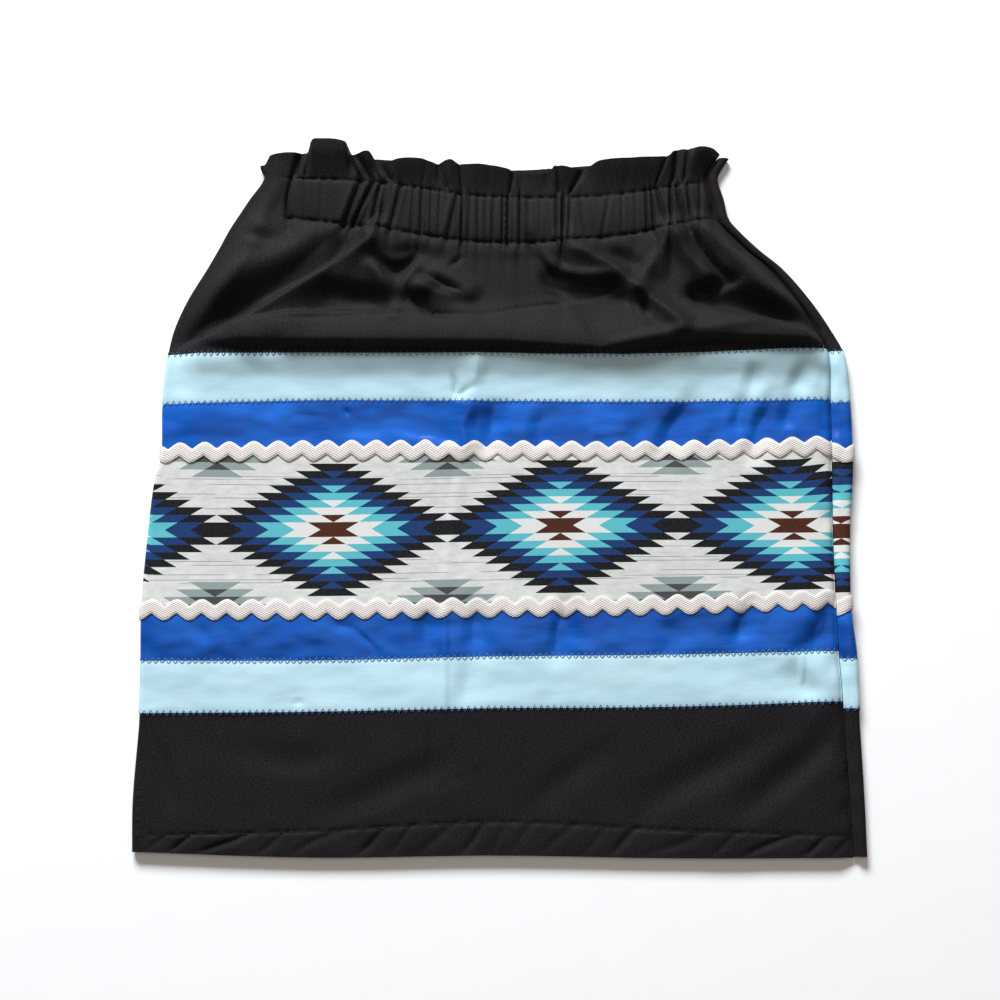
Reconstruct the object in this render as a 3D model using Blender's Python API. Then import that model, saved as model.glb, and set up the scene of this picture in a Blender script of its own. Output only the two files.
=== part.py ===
"""Ribbon skirt, laid flat on a surface.

One black cotton panel goes round the wearer and is sewn into a tube by one side seam. Satin
ribbons, a printed band and two rows of rickrack are sewn on all the way round. The top of the
panel is turned down over an elastic, which gathers it and leaves a ruffled header above.

Each piece is a wall of cloth that starts at the seam on the front, runs left across the front,
round the left fold, right along the back, round the right fold, and back to the seam.
A place on the cloth has two co-ordinates. `column` counts gathers of cloth from the seam, and
`row` is the height on the middle of the front, in millimetres. +Z is up, away from the surface,
+Y points from the hem to the waist, and +X to the side where the seam lies.
"""
import math

import bmesh
import bpy
from mathutils import Vector

MM = 0.001

# Cloth and trim thicknesses, in millimetres
COTTON = 1.2
HEM_EXTRA = 0.7
CASING_WALL = 2.4
RUFFLE_WALL = 1.6
RIBBON = 1.0
RICKRACK = 1.2
GAP = 0.3
SEAM_GAP = 0.5

# Each layer's under and outer side, measured from the middle of the black cotton
RIBBON_UNDER = COTTON / 2 + GAP
RIBBON_TOP = RIBBON_UNDER + RIBBON
RICKRACK_UNDER = RIBBON_TOP + GAP
RICKRACK_TOP = RICKRACK_UNDER + RICKRACK

# The front has 27 gathers between the seam and the left fold, and the back as many
GATHERS = 27
LEFT_FOLD = GATHERS
BACK_START = GATHERS + 1
RIGHT_FOLD = 2 * GATHERS + 1
STRIP_START = 2 * GATHERS + 2
COLUMN_END = 2 * GATHERS + 3

# Height of the front over the back at the two folded sides, middle to middle
SIDE_HEIGHT = 5.0
# The front rises to its full height this far in from a side
SIDE_EASE = 26.0

# The skirt is drawn with the photographed middle at zero, then moved onto the origin
CENTRE_X = -0.5
CENTRE_Y = 5.4

# Heights of the lines across the garment: at the left fold, at a quarter, half and three
# quarters of the way to the seam, at the seam, and on the strip right of the seam
LINES = [
    # row     left    quarter  middle  three_q  seam    strip
    (-263.0, -260.5, -264.5, -263.0, -265.0, -264.8, -264.1),
    (-239.0, -249.0, -245.5, -238.8, -245.0, -249.7, -249.7),
    (-156.0, -159.5, -158.4, -155.9, -154.9, -150.7, -155.8),
    (-118.0, -121.1, -120.9, -118.0, -116.6, -113.7, -119.3),
    (-81.4, -83.3, -82.8, -81.4, -79.6, -74.8, -79.5),
    (-21.0, -23.3, -22.9, -21.4, -20.0, -20.3, -24.8),
    (36.1, 34.4, 36.4, 36.1, 36.2, 40.5, 35.1),
    (74.0, 71.9, 74.8, 74.2, 73.6, 75.6, 73.6),
    (110.0, 109.7, 110.1, 110.1, 109.7, 114.7, 112.8),
    (197.5, 221.0, 210.5, 197.5, 201.0, 217.0, 217.0),
    (233.5, 249.1, 244.5, 233.6, 234.2, 245.2, 246.0),
    (256.0, 259.0, 265.0, 256.5, 261.5, 269.0, 265.0),
]
HEM = -263.0
HEM_STITCH = -239.0
LIGHT_LOWER = -156.0
ROYAL_LOWER = -118.0
TRIM_LOWER = -81.4
PRINT_MIDDLE = -21.0
TRIM_UPPER = 36.1
ROYAL_UPPER = 74.0
LIGHT_UPPER = 110.0
CASING_FOOT = 197.5
CASING_HEAD = 233.5
RUFFLE_TOP = 256.0

# Outline of the garment from above, and the side seam
OUTLINE = [
    # y       left    right  seam
    (-265.0, -270.0, 269.5, 259.5),
    (-223.0, -270.6, 268.6, 257.6),
    (-158.0, -266.9, 266.2, 254.4),
    (-118.0, -266.6, 265.0, 252.0),
    (-80.0, -266.6, 261.0, 250.2),
    (-24.0, -263.2, 261.8, 249.6),
    (15.0, -259.0, 264.6, 249.8),
    (33.0, -254.6, 265.2, 250.0),
    (75.0, -255.0, 264.6, 250.2),
    (111.5, -252.2, 261.2, 249.4),
    (130.0, -248.3, 252.1, 241.5),
    (153.0, -238.5, 237.0, 227.0),
    (177.0, -224.5, 217.0, 207.5),
    (192.5, -216.0, 198.8, 189.5),
    (208.0, -208.0, 183.0, 174.0),
    (217.0, -202.5, 176.0, 167.0),
    (232.0, -193.0, 172.5, 163.5),
    (249.0, -182.0, 168.0, 159.0),
    (258.0, -185.0, 172.0, 163.0),
    (268.0, -184.0, 179.0, 170.0),
]

# Middle of the cotton of the back panel above the surface: the trims lie under it
BACK_UNDER_COTTON = COTTON / 2
BACK_UNDER_RIBBON = RIBBON_TOP
BACK_UNDER_TRIM = RICKRACK_TOP
TRIM_REACH = 8.5
EDGE_STEP = 8.0

# Height of the front's cotton in the middle of the garment, before its folds
FRONT_RISE = [
    # y       height
    (-265.0, 5.0),
    (-238.0, 6.2),
    (-190.0, 7.0),
    (-140.0, 7.6),
    (-20.0, 8.4),
    (60.0, 8.8),
    (92.0, 10.0),
    (111.0, 14.5),
    (150.0, 12.0),
    (200.0, 8.5),
    (234.0, 7.0),
    (268.0, 13.0),
]

# The largest folds of the front: a soft ridge, or a trough where the height is negative,
# along a line of a few points, with one width above the line and one below it
FOLDS = [
    # height, width_above, width_below, line
    (11.0, 22.0, 8.0, ((-216, 124), (-147, 126), (4, 124), (76, 118), (120, 124), (168, 128), (236, 123))),
    (-6.5, 11.0, 13.0, ((-112, 207), (-152, 183), (-205, 150), (-240, 128))),
    (7.5, 14.0, 13.0, ((-105, 212), (-124, 190), (-160, 164), (-198, 141))),
    (6.0, 22.0, 22.0, ((-212, 180), (-196, 204))),
    (5.5, 11.0, 11.0, ((-102, 203), (-92, 174), (-80, 148))),
    (-4.5, 10.0, 9.0, ((-128, 158), (-96, 152), (-76, 150))),
    (-6.0, 9.0, 9.0, ((-97, 187), (-81, 178), (-64, 188))),
    (5.0, 10.0, 8.0, ((-66, 160), (-46, 170), (-24, 158))),
    (4.5, 12.0, 11.0, ((51, 197), (78, 181), (101, 162))),
    (4.5, 12.0, 11.0, ((127, 204), (118, 181), (101, 162))),
    (-5.5, 10.0, 9.0, ((42, 171), (68, 165), (93, 155))),
    (6.0, 11.0, 10.0, ((133, 207), (145, 188), (155, 170))),
    (7.5, 13.0, 12.0, ((154, 208), (186, 172), (204, 157), (234, 142))),
    (-6.5, 8.0, 8.0, ((160, 147), (196, 144), (232, 139))),
    (5.0, 9.0, 9.0, ((108, 158), (122, 143), (136, 132))),
]

# Gather depth along the height of the garment
GATHER_DEPTH = [
    # row     depth
    (110.0, 0.0),
    (165.0, 0.6),
    (190.0, 1.8),
    (197.5, 2.4),
    (215.0, 1.3),
    (233.5, 2.2),
    (244.0, 3.2),
    (256.0, 4.2),
]

# The upper pale ribbon starts to slope up to the waist folds here
RIBBON_SLOPE = 92.0

# Steps round each folded side, gathers in a step along the back, and how close together the
# places are that give the cloth's outward direction
FOLD_STEPS = 3
BACK_STEP = 4
NEAR_COLUMN = 0.12
NEAR_ROW = 1.5

GARMENT = "ribbon_skirt"

# Rickrack: half the braid's height, and how far its middle swings up and down
BRAID_HALF = 5.1
BRAID_SWING = 2.6


def read_table(table, key, field):
    """Smoothly read one field of a table at a value of its first column."""
    keys = [entry[0] for entry in table]
    values = [entry[field] for entry in table]
    if key <= keys[0]:
        return values[0]
    if key >= keys[-1]:
        return values[-1]
    i = max(n for n in range(len(keys) - 1) if keys[n] <= key)
    span = keys[i + 1] - keys[i]
    t = (key - keys[i]) / span
    slope = (values[i + 1] - values[i]) / span
    before = slope
    after = slope
    if i > 0:
        before = (values[i + 1] - values[i - 1]) / (keys[i + 1] - keys[i - 1])
    if i + 2 < len(keys):
        after = (values[i + 2] - values[i]) / (keys[i + 2] - keys[i])
    rise = values[i + 1] - values[i]
    a = before * span - rise
    b = rise - after * span
    return values[i] + rise * t + t * (1 - t) * (a * (1 - t) + b * t)


def ease(t):
    t = min(1.0, max(0.0, t))
    return t * t * (3 - 2 * t)


def line_height(row, across):
    """Y of a row of the cloth on the front, from the left fold (0) to the seam (1)."""
    heights = [(entry[0], read_table(list(zip((0.0, 0.25, 0.5, 0.75, 1.0), entry[1:6])), across, 1))
               for entry in LINES]
    i = max(n for n in range(len(LINES) - 1) if LINES[n][0] <= row or n == 0)
    (row_a, y_a), (row_b, y_b) = heights[i], heights[i + 1]
    return y_a + (y_b - y_a) * (row - row_a) / (row_b - row_a)


def strip_height(row):
    i = max(n for n in range(len(LINES) - 1) if LINES[n][0] <= row or n == 0)
    a, b = LINES[i], LINES[i + 1]
    return a[6] + (b[6] - a[6]) * (row - a[0]) / (b[0] - a[0])


def back_middle(row):
    """Height of the middle of the back cotton, which lies on its trims."""
    heights = [
        (HEM, BACK_UNDER_COTTON),
        (LIGHT_LOWER - EDGE_STEP, BACK_UNDER_COTTON),
        (LIGHT_LOWER, BACK_UNDER_RIBBON),
        (ROYAL_LOWER, BACK_UNDER_RIBBON),
        (TRIM_LOWER - TRIM_REACH, BACK_UNDER_TRIM),
        (TRIM_LOWER + TRIM_REACH, BACK_UNDER_TRIM),
        (PRINT_MIDDLE, BACK_UNDER_RIBBON),
        (TRIM_UPPER - TRIM_REACH, BACK_UNDER_TRIM),
        (TRIM_UPPER + TRIM_REACH, BACK_UNDER_TRIM),
        (ROYAL_UPPER, BACK_UNDER_RIBBON),
        (LIGHT_UPPER, BACK_UNDER_RIBBON),
        (LIGHT_UPPER + EDGE_STEP, BACK_UNDER_COTTON),
        (RUFFLE_TOP, BACK_UNDER_COTTON),
    ]
    for (row_a, low), (row_b, high) in zip(heights, heights[1:]):
        if row <= row_b:
            return low + (high - low) * max(0.0, row - row_a) / (row_b - row_a)
    return BACK_UNDER_COTTON


def along(x, y, line):
    """Signed distance from a fold's line, positive above it, and how far past its ends."""
    best = None
    for (x_a, y_a), (x_b, y_b) in zip(line, line[1:]):
        dx = x_b - x_a
        dy = y_b - y_a
        length = math.hypot(dx, dy)
        t = ((x - x_a) * dx + (y - y_a) * dy) / length ** 2
        held = min(1.0, max(0.0, t))
        far = math.hypot(x - x_a - held * dx, y - y_a - held * dy)
        if best is None or far < best[0]:
            side = math.copysign(1.0, (dx * (y - y_a) - dy * (x - x_a)) * (1 if dx >= 0 else -1))
            best = (far, side)
    return best[0] * best[1]


def fold_relief(x, y):
    total = 0.0
    for height, above, below, line in FOLDS:
        far = along(x, y, line)
        width = above if far > 0 else below
        reach = abs(far) / (1.6 * width)
        if reach < 1:
            total += height * (1 - reach * reach) ** 3
    return total


def soft_waves(x, y):
    """The slight unevenness of cloth that was smoothed by hand."""
    long_wave = math.sin(x / 41.0 + 0.6 * math.sin(y / 53.0)) * math.cos(y / 67.0 + x / 150.0)
    short_wave = math.sin(x / 19.0 + y / 37.0)
    return 0.9 * long_wave + 0.35 * short_wave


def gather(column, row):
    """Narrow creases between the gathers: a negative height that grows towards the waist."""
    depth = read_table(GATHER_DEPTH, row, 1)
    if depth < 0.01:
        return 0.0
    nearest = round(column)
    phase = abs(column - nearest)
    uneven = 0.7 + 0.3 * math.sin(2.4 * nearest + 0.8)
    crease = math.exp(-(phase / 0.2) ** 2)
    swell = 0.35 * math.cos(2 * math.pi * (column / 2.7 + 0.1))
    return depth * (swell - uneven * crease)


def casing_bulge(row):
    if row <= CASING_FOOT or row >= CASING_HEAD:
        return 0.0
    return 2.6 * math.sin(math.pi * (row - CASING_FOOT) / (CASING_HEAD - CASING_FOOT)) ** 0.7


def flap_lift(column, row):
    """The header opens into flaps that stand up and down by turns towards its edge."""
    if row <= CASING_HEAD:
        return 0.0
    part = (row - CASING_HEAD) / (RUFFLE_TOP - CASING_HEAD)
    return 3.2 * part * math.sin(2 * math.pi * column / 3.4 + 1.1 * math.sin(column))


def flap_reach(column, row):
    """How far each flap's edge stands up the page beyond the smooth line."""
    if row <= CASING_HEAD:
        return 0.0
    part = ease((row - CASING_HEAD) / (RUFFLE_TOP - CASING_HEAD))
    waves = 2.4 * math.sin(2 * math.pi * column / 3.1 + 0.4)
    tall_flap = 9.5 * math.exp(-((column - 22.8) / 1.3) ** 4)
    return part * (waves + tall_flap) * ease(min(column, GATHERS - column) / 1.5)


def gathered_shift(column, row):
    """Gathers are of uneven width, more so towards the waist."""
    part = ease((row - LIGHT_UPPER) / (CASING_FOOT - LIGHT_UPPER))
    part *= ease(min(column, GATHERS - column) / 2.0)
    return part * (0.28 * math.sin(column * 1.05) + 0.2 * math.sin(column * 2.3 + 1.0))


def front_middle(x, y, row, column, left):
    """Height of the middle of the front cotton."""
    side = back_middle(row) + SIDE_HEIGHT
    inward = min(x - left, read_table(OUTLINE, y, 2) - x)
    full = read_table(FRONT_RISE, y, 1) + fold_relief(x, y) + soft_waves(x, y)
    full += gather(column, row) + casing_bulge(row) + flap_lift(column, row)
    full = max(full, side + 0.2)
    return side + (full - side) * ease(inward / SIDE_EASE)


def middle(column, row):
    """The middle of the cotton at a place on the cloth."""
    radius = SIDE_HEIGHT / 2
    back = back_middle(row)
    left = read_table(OUTLINE, line_height(row, 0.0), 1) + COTTON / 2
    right = read_table(OUTLINE, strip_height(row), 2) - COTTON / 2
    if column <= LEFT_FOLD:
        across = 1.0 - (column + gathered_shift(column, row)) / GATHERS
        seam = read_table(OUTLINE, line_height(row, 1.0), 3) - SEAM_GAP / 2
        x = left + radius + (seam - left - radius) * across
        y = line_height(row, across) + flap_reach(column, row)
        return Vector((x, y, front_middle(x, y, row, column, left)))
    if column < BACK_START:
        turn = math.pi * (column - LEFT_FOLD)
        x = left + radius - radius * math.sin(turn)
        return Vector((x, line_height(row, 0.0), back + radius + radius * math.cos(turn)))
    if column <= RIGHT_FOLD:
        across = (column - BACK_START) / GATHERS
        x = left + radius + (right - left - 2 * radius) * across
        meet = strip_height(row) - line_height(row, 1.0)
        y = line_height(row, across) + meet * ease((across - 0.85) / 0.15)
        return Vector((x, y, back))
    y = strip_height(row)
    if column < STRIP_START:
        turn = math.pi * (column - RIGHT_FOLD)
        x = right - radius + radius * math.sin(turn)
        return Vector((x, y, back + radius - radius * math.cos(turn)))
    seam = read_table(OUTLINE, y, 3) + SEAM_GAP / 2
    x = right - radius + (seam - right + radius) * (column - STRIP_START)
    return Vector((x, y, front_middle(x, y, row, 0.0, left)))


def outward(column, row):
    """The cloth's outward direction, from four places close by."""
    before = max(0.0, column - NEAR_COLUMN)
    after = min(float(COLUMN_END), column + NEAR_COLUMN)
    round_way = middle(after, row) - middle(before, row)
    above = middle(column, min(RUFFLE_TOP, row + NEAR_ROW))
    below = middle(column, max(HEM, row - NEAR_ROW))
    normal = (above - below).cross(round_way)
    if column in (0, COLUMN_END):
        normal.x = 0.0
    return normal.normalized()


def columns(per_gather):
    """Columns of one row: fine across the front, coarse along the flat back."""
    front = [n / per_gather for n in range(GATHERS * per_gather + 1)]
    folds = [n / FOLD_STEPS for n in range(1, FOLD_STEPS)]
    back = [BACK_START + n for n in range(0, GATHERS, BACK_STEP)]
    left_turn = [LEFT_FOLD + n for n in folds]
    right_turn = [RIGHT_FOLD + n for n in folds]
    return front + left_turn + back + [RIGHT_FOLD] + right_turn + [STRIP_START, COLUMN_END]


def zip_rows(mesh, low, high, flip):
    """Fill the strip between two rows of points that may have unequal counts."""
    i = 0
    j = 0
    while i < len(low) - 1 or j < len(high) - 1:
        next_low = low[i + 1][0] if i < len(low) - 1 else math.inf
        next_high = high[j + 1][0] if j < len(high) - 1 else math.inf
        if next_low <= next_high:
            corner = [low[i][1], low[i + 1][1], high[j][1]]
            i += 1
        else:
            corner = [low[i][1], high[j + 1][1], high[j][1]]
            j += 1
        mesh.faces.new(corner[::-1] if flip else corner)


def add_piece(name, mesh, look):
    for vert in mesh.verts:
        vert.co = (vert.co - Vector((CENTRE_X, CENTRE_Y, 0.0))) * MM
    bmesh.ops.recalc_face_normals(mesh, faces=mesh.faces)
    data = bpy.data.meshes.new(name)
    mesh.to_mesh(data)
    mesh.free()
    data.shade_smooth()
    piece = bpy.data.objects.new(name, data)
    data.materials.append(look)
    bpy.context.collection.objects.link(piece)
    piece.parent = bpy.data.objects[GARMENT]
    return piece


def wall(name, rows, look, seams=(0, 0)):
    """A wall of cloth through rows, each with its height, columns, under and outer side.

    `seams` says whether the lowest and highest rows stand back from a neighbour.
    """
    mesh = bmesh.new()
    outer = []
    inner = []
    for number, (row, per_gather, under, over) in enumerate(rows):
        back_off = 0.0
        if number == 0:
            back_off = seams[0] * GAP / 2
        if number == len(rows) - 1:
            back_off = -seams[1] * GAP / 2
        shift = Vector((0.0, back_off, 0.0))
        outer.append([])
        inner.append([])
        for column in columns(per_gather):
            place = middle(column, row) + shift
            normal = outward(column, row)
            outer[-1].append((column, mesh.verts.new(place + normal * over)))
            inner[-1].append((column, mesh.verts.new(place + normal * under)))
    for n in range(len(rows) - 1):
        zip_rows(mesh, outer[n], outer[n + 1], False)
        zip_rows(mesh, inner[n], inner[n + 1], True)
        for end in (0, -1):
            mesh.faces.new([outer[n][end][1], outer[n + 1][end][1], inner[n + 1][end][1], inner[n][end][1]])
    for n in (0, -1):
        for a, b, c, d in zip(outer[n], outer[n][1:], inner[n][1:], inner[n]):
            mesh.faces.new([a[1], b[1], c[1], d[1]])
    return add_piece(name, mesh, look)


def cotton_rows(heights, per_gather, wall_thickness=COTTON):
    """Rows of black cotton: the outer side stays put, and extra layers go inwards."""
    over = COTTON / 2
    return [(row, per_gather, over - wall_thickness, over) for row in heights]


def trim_rows(heights):
    return [(row, 1, RIBBON_UNDER, RIBBON_TOP) for row in heights]


def braid_phase(column):
    """Waves of the braid passed since the seam: one for each gather of cloth."""
    if column <= LEFT_FOLD:
        return column
    if column <= BACK_START:
        return LEFT_FOLD + 0.5 * (column - LEFT_FOLD)
    if column <= RIGHT_FOLD:
        return column - 0.5
    return RIGHT_FOLD - 0.5 + 0.5 * (column - RIGHT_FOLD)


def braid_columns():
    front = [n / 4 for n in range(4 * GATHERS)]
    left_turn = [LEFT_FOLD + n / FOLD_STEPS for n in range(FOLD_STEPS)]
    back = [BACK_START + n / 2 for n in range(2 * GATHERS)]
    right_turn = [RIGHT_FOLD + n / FOLD_STEPS for n in range(FOLD_STEPS)]
    return front + left_turn + back + right_turn + [STRIP_START, STRIP_START + 0.5, COLUMN_END]


def rickrack(name, trim, look):
    """A wavy braid that lies on the facets of the ribbon and the print."""
    knots = columns(1)
    levels = (trim - TRIM_REACH, trim, trim + TRIM_REACH)
    places = {(knot, row): (middle(knot, row), outward(knot, row)) for knot in knots for row in levels}

    def on_trim(column, up, height):
        after = min(n for n in range(1, len(knots)) if knots[n] >= column)
        low, high = knots[after - 1], knots[after]
        part = (column - low) / (high - low)
        far_row = levels[2] if up > 0 else levels[0]
        spots = []
        for row in (trim, far_row):
            ends = [places[knot, row][0] + places[knot, row][1] * height for knot in (low, high)]
            spots.append(ends[0].lerp(ends[1], part))
        return spots[0].lerp(spots[1], abs(up) / TRIM_REACH)

    mesh = bmesh.new()
    sections = []
    for column in braid_columns():
        swing = BRAID_SWING * math.cos(2 * math.pi * braid_phase(column))
        corners = [
            (swing - BRAID_HALF, RICKRACK_TOP),
            (swing + BRAID_HALF, RICKRACK_TOP),
            (swing + BRAID_HALF, RICKRACK_UNDER),
            (swing - BRAID_HALF, RICKRACK_UNDER),
        ]
        sections.append([mesh.verts.new(on_trim(column, up, height)) for up, height in corners])
    for near, far in zip(sections, sections[1:]):
        for n in range(4):
            mesh.faces.new([near[n], near[n - 1], far[n - 1], far[n]])
    mesh.faces.new(sections[0])
    mesh.faces.new(sections[-1][::-1])
    return add_piece(name, mesh, look)


def cloth_look(name, colour, roughness, metallic=0.0):
    look = bpy.data.materials.new(name)
    look.use_nodes = True
    shader = look.node_tree.nodes["Principled BSDF"]
    shader.inputs["Base Color"].default_value = (*colour, 1.0)
    shader.inputs["Roughness"].default_value = roughness
    shader.inputs["Metallic"].default_value = metallic
    return look


def clear_scene():
    for thing in list(bpy.data.objects):
        bpy.data.objects.remove(thing, do_unlink=True)


def black_cotton():
    look = cloth_look("black_cotton", (0.012, 0.011, 0.012), 0.75)
    body = cotton_rows((HEM, HEM + 12.0, HEM_STITCH - 1.5), 1, COTTON + HEM_EXTRA)
    body += cotton_rows((HEM_STITCH + 1.5, -205.0, -180.0, LIGHT_LOWER - EDGE_STEP), 1)
    body += cotton_rows((LIGHT_LOWER, ROYAL_LOWER, TRIM_LOWER - TRIM_REACH, TRIM_LOWER), 1)
    body += cotton_rows((TRIM_LOWER + TRIM_REACH, PRINT_MIDDLE, TRIM_UPPER - TRIM_REACH), 1)
    body += cotton_rows((TRIM_UPPER, TRIM_UPPER + TRIM_REACH, ROYAL_UPPER, RIBBON_SLOPE, LIGHT_UPPER), 1)
    body += cotton_rows((114.0, LIGHT_UPPER + EDGE_STEP, 123.0, 130.0, 138.0, 147.0, 156.0, 166.0, 176.0), 2)
    body += cotton_rows((185.0, 192.0, CASING_FOOT), 4)
    wall("body_panel", body, look, (0, 1))
    tunnel = (CASING_FOOT, CASING_FOOT + 9.0, CASING_HEAD - 9.0, CASING_HEAD)
    wall("waist_casing", cotton_rows(tunnel, 4, CASING_WALL), look, (1, 1))
    header = (CASING_HEAD, (CASING_HEAD + RUFFLE_TOP) / 2, RUFFLE_TOP)
    wall("waist_ruffle", cotton_rows(header, 4, RUFFLE_WALL), look, (1, 0))


def satin_ribbons():
    light = cloth_look("light_satin", (0.50, 0.75, 0.82), 0.35)
    royal = cloth_look("royal_satin", (0.01, 0.08, 0.52), 0.32)
    wall("ribbon_light_upper", trim_rows((ROYAL_UPPER, RIBBON_SLOPE, LIGHT_UPPER)), light, (1, 0))
    wall("ribbon_royal_upper", trim_rows((TRIM_UPPER, TRIM_UPPER + TRIM_REACH, ROYAL_UPPER)), royal, (1, 1))
    wall("ribbon_royal_lower", trim_rows((ROYAL_LOWER, TRIM_LOWER - TRIM_REACH, TRIM_LOWER)), royal, (1, 1))
    wall("ribbon_light_lower", trim_rows((LIGHT_LOWER, ROYAL_LOWER)), light, (0, 1))


def printed_band():
    look = cloth_look("printed_cotton", (0.55, 0.60, 0.62), 0.7)
    rows = (TRIM_LOWER, TRIM_LOWER + TRIM_REACH, PRINT_MIDDLE, TRIM_UPPER - TRIM_REACH, TRIM_UPPER)
    wall("print_band", trim_rows(rows), look, (1, 1))


def rickrack_braids():
    look = cloth_look("white_braid", (0.84, 0.83, 0.80), 0.6)
    rickrack("rickrack_upper", TRIM_UPPER, look)
    rickrack("rickrack_lower", TRIM_LOWER, look)


def build_skirt():
    clear_scene()
    garment = bpy.data.objects.new(GARMENT, None)
    bpy.context.collection.objects.link(garment)
    black_cotton()
    satin_ribbons()
    printed_band()
    rickrack_braids()


build_skirt()
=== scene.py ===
"""Ribbon skirt laid flat: the cloth as it looks, fitted round the solid frame.

A place on the cloth has two co-ordinates, as in the frame's own plan. `column` counts gathers
from the side seam, left across the front, round the left fold, along the back and round the
right fold. `row` is the height on the middle of the front, in millimetres. Lengths are in
millimetres until a mesh is made.
"""
import math

import bpy
import numpy as np
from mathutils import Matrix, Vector


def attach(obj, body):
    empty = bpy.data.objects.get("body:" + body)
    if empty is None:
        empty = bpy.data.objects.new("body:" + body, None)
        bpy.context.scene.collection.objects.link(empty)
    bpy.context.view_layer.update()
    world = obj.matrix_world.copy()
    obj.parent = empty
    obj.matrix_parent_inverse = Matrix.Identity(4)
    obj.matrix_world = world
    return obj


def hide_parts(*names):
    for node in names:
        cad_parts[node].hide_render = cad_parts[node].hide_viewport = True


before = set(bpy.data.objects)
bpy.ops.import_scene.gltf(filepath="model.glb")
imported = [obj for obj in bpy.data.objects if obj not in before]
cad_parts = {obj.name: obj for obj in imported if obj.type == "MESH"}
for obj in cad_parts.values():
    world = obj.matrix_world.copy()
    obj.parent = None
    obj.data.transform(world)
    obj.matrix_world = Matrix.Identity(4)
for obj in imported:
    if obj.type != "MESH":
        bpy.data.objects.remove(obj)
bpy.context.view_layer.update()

MM = 0.001

# The frame's plan, repeated: thickness of the cotton, gap at the seam, and the columns
COTTON = 1.2
SEAM_GAP = 0.5
GATHERS = 27
LEFT_FOLD = GATHERS
BACK_START = GATHERS + 1
RIGHT_FOLD = 2 * GATHERS + 1
STRIP_START = 2 * GATHERS + 2
COLUMN_END = 2 * GATHERS + 3
SIDE_HEIGHT = 5.0
SIDE_EASE = 26.0
CENTRE_X = -0.5
CENTRE_Y = 5.4
# Left of this the smooth left bulge covers the casing
CASING_COVERED = -168.0
# Least space between the middles of the front and back cotton
LEAST_SPACE = 2.4
# The tables' creases are made this much deeper
CREASE_BOOST = 1.3
TRIM_BOOST = 1.5

LINES = [
    # row     left    quarter  middle  three_q  seam    strip
    (-263, -260.5, -264.5, -263, -265, -264.8, -264.1),
    (-239, -249, -245.5, -238.8, -245, -249.7, -249.7),
    (-156, -159.5, -158.4, -155.9, -154.9, -150.7, -155.8),
    (-118, -121.1, -120.9, -118, -116.6, -113.7, -119.3),
    (-81.4, -83.3, -82.8, -81.4, -79.6, -74.8, -79.5),
    (-21, -23.3, -22.9, -21.4, -20, -20.3, -24.8),
    (36.1, 34.4, 36.4, 36.1, 36.2, 40.5, 35.1),
    (74, 71.9, 74.8, 74.2, 73.6, 75.6, 73.6),
    (110, 109.7, 110.1, 110.1, 109.7, 114.7, 112.8),
    (197.5, 221, 210.5, 197.5, 201, 217, 217),
    (233.5, 249.1, 244.5, 233.6, 234.2, 245.2, 246),
    (256, 259, 265, 256.5, 261.5, 269, 265),
]
HEM = -263.0
HEM_STITCH = -239.0
LIGHT_LOWER = -156.0
ROYAL_LOWER = -118.0
TRIM_LOWER = -81.4
PRINT_MIDDLE = -21.0
TRIM_UPPER = 36.1
ROYAL_UPPER = 74.0
LIGHT_UPPER = 110.0
CASING_FOOT = 197.5
CASING_HEAD = 233.5
RUFFLE_TOP = 256.0

OUTLINE = [
    # y       left    right  seam
    (-265, -270, 269.5, 259.5),
    (-223, -270.6, 268.6, 257.6),
    (-158, -266.9, 266.2, 254.4),
    (-118, -266.6, 265, 252),
    (-80, -266.6, 261, 250.2),
    (-24, -263.2, 261.8, 249.6),
    (15, -259, 264.6, 249.8),
    (33, -254.6, 265.2, 250),
    (75, -255, 264.6, 250.2),
    (111.5, -252.2, 261.2, 249.4),
    (130, -248.3, 252.1, 241.5),
    (153, -238.5, 237, 227),
    (177, -224.5, 217, 207.5),
    (192.5, -216, 198.8, 189.5),
    (208, -208, 183, 174),
    (217, -202.5, 176, 167),
    (232, -193, 172.5, 163.5),
    (249, -182, 168, 159),
    (258, -185, 172, 163),
    (268, -184, 179, 170),
]

# Height of the middle of the back cotton, which lies on its trims
BACK_RISE = [
    # row     height
    (-263, 0.6),
    (-164, 0.6),
    (-156, 1.9),
    (-118, 1.9),
    (-89.9, 3.4),
    (-72.9, 3.4),
    (-21, 1.9),
    (27.6, 3.4),
    (44.6, 3.4),
    (74, 1.9),
    (110, 1.9),
    (118, 0.6),
    (256, 0.6),
]

FRONT_RISE = [
    # y       height
    (-265, 5),
    (-238, 6.2),
    (-190, 7),
    (-140, 7.6),
    (-20, 8.4),
    (60, 8.8),
    (92, 10),
    (111, 14.5),
    (150, 13),
    (200, 9),
    (234, 7),
    (268, 13),
]

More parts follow.
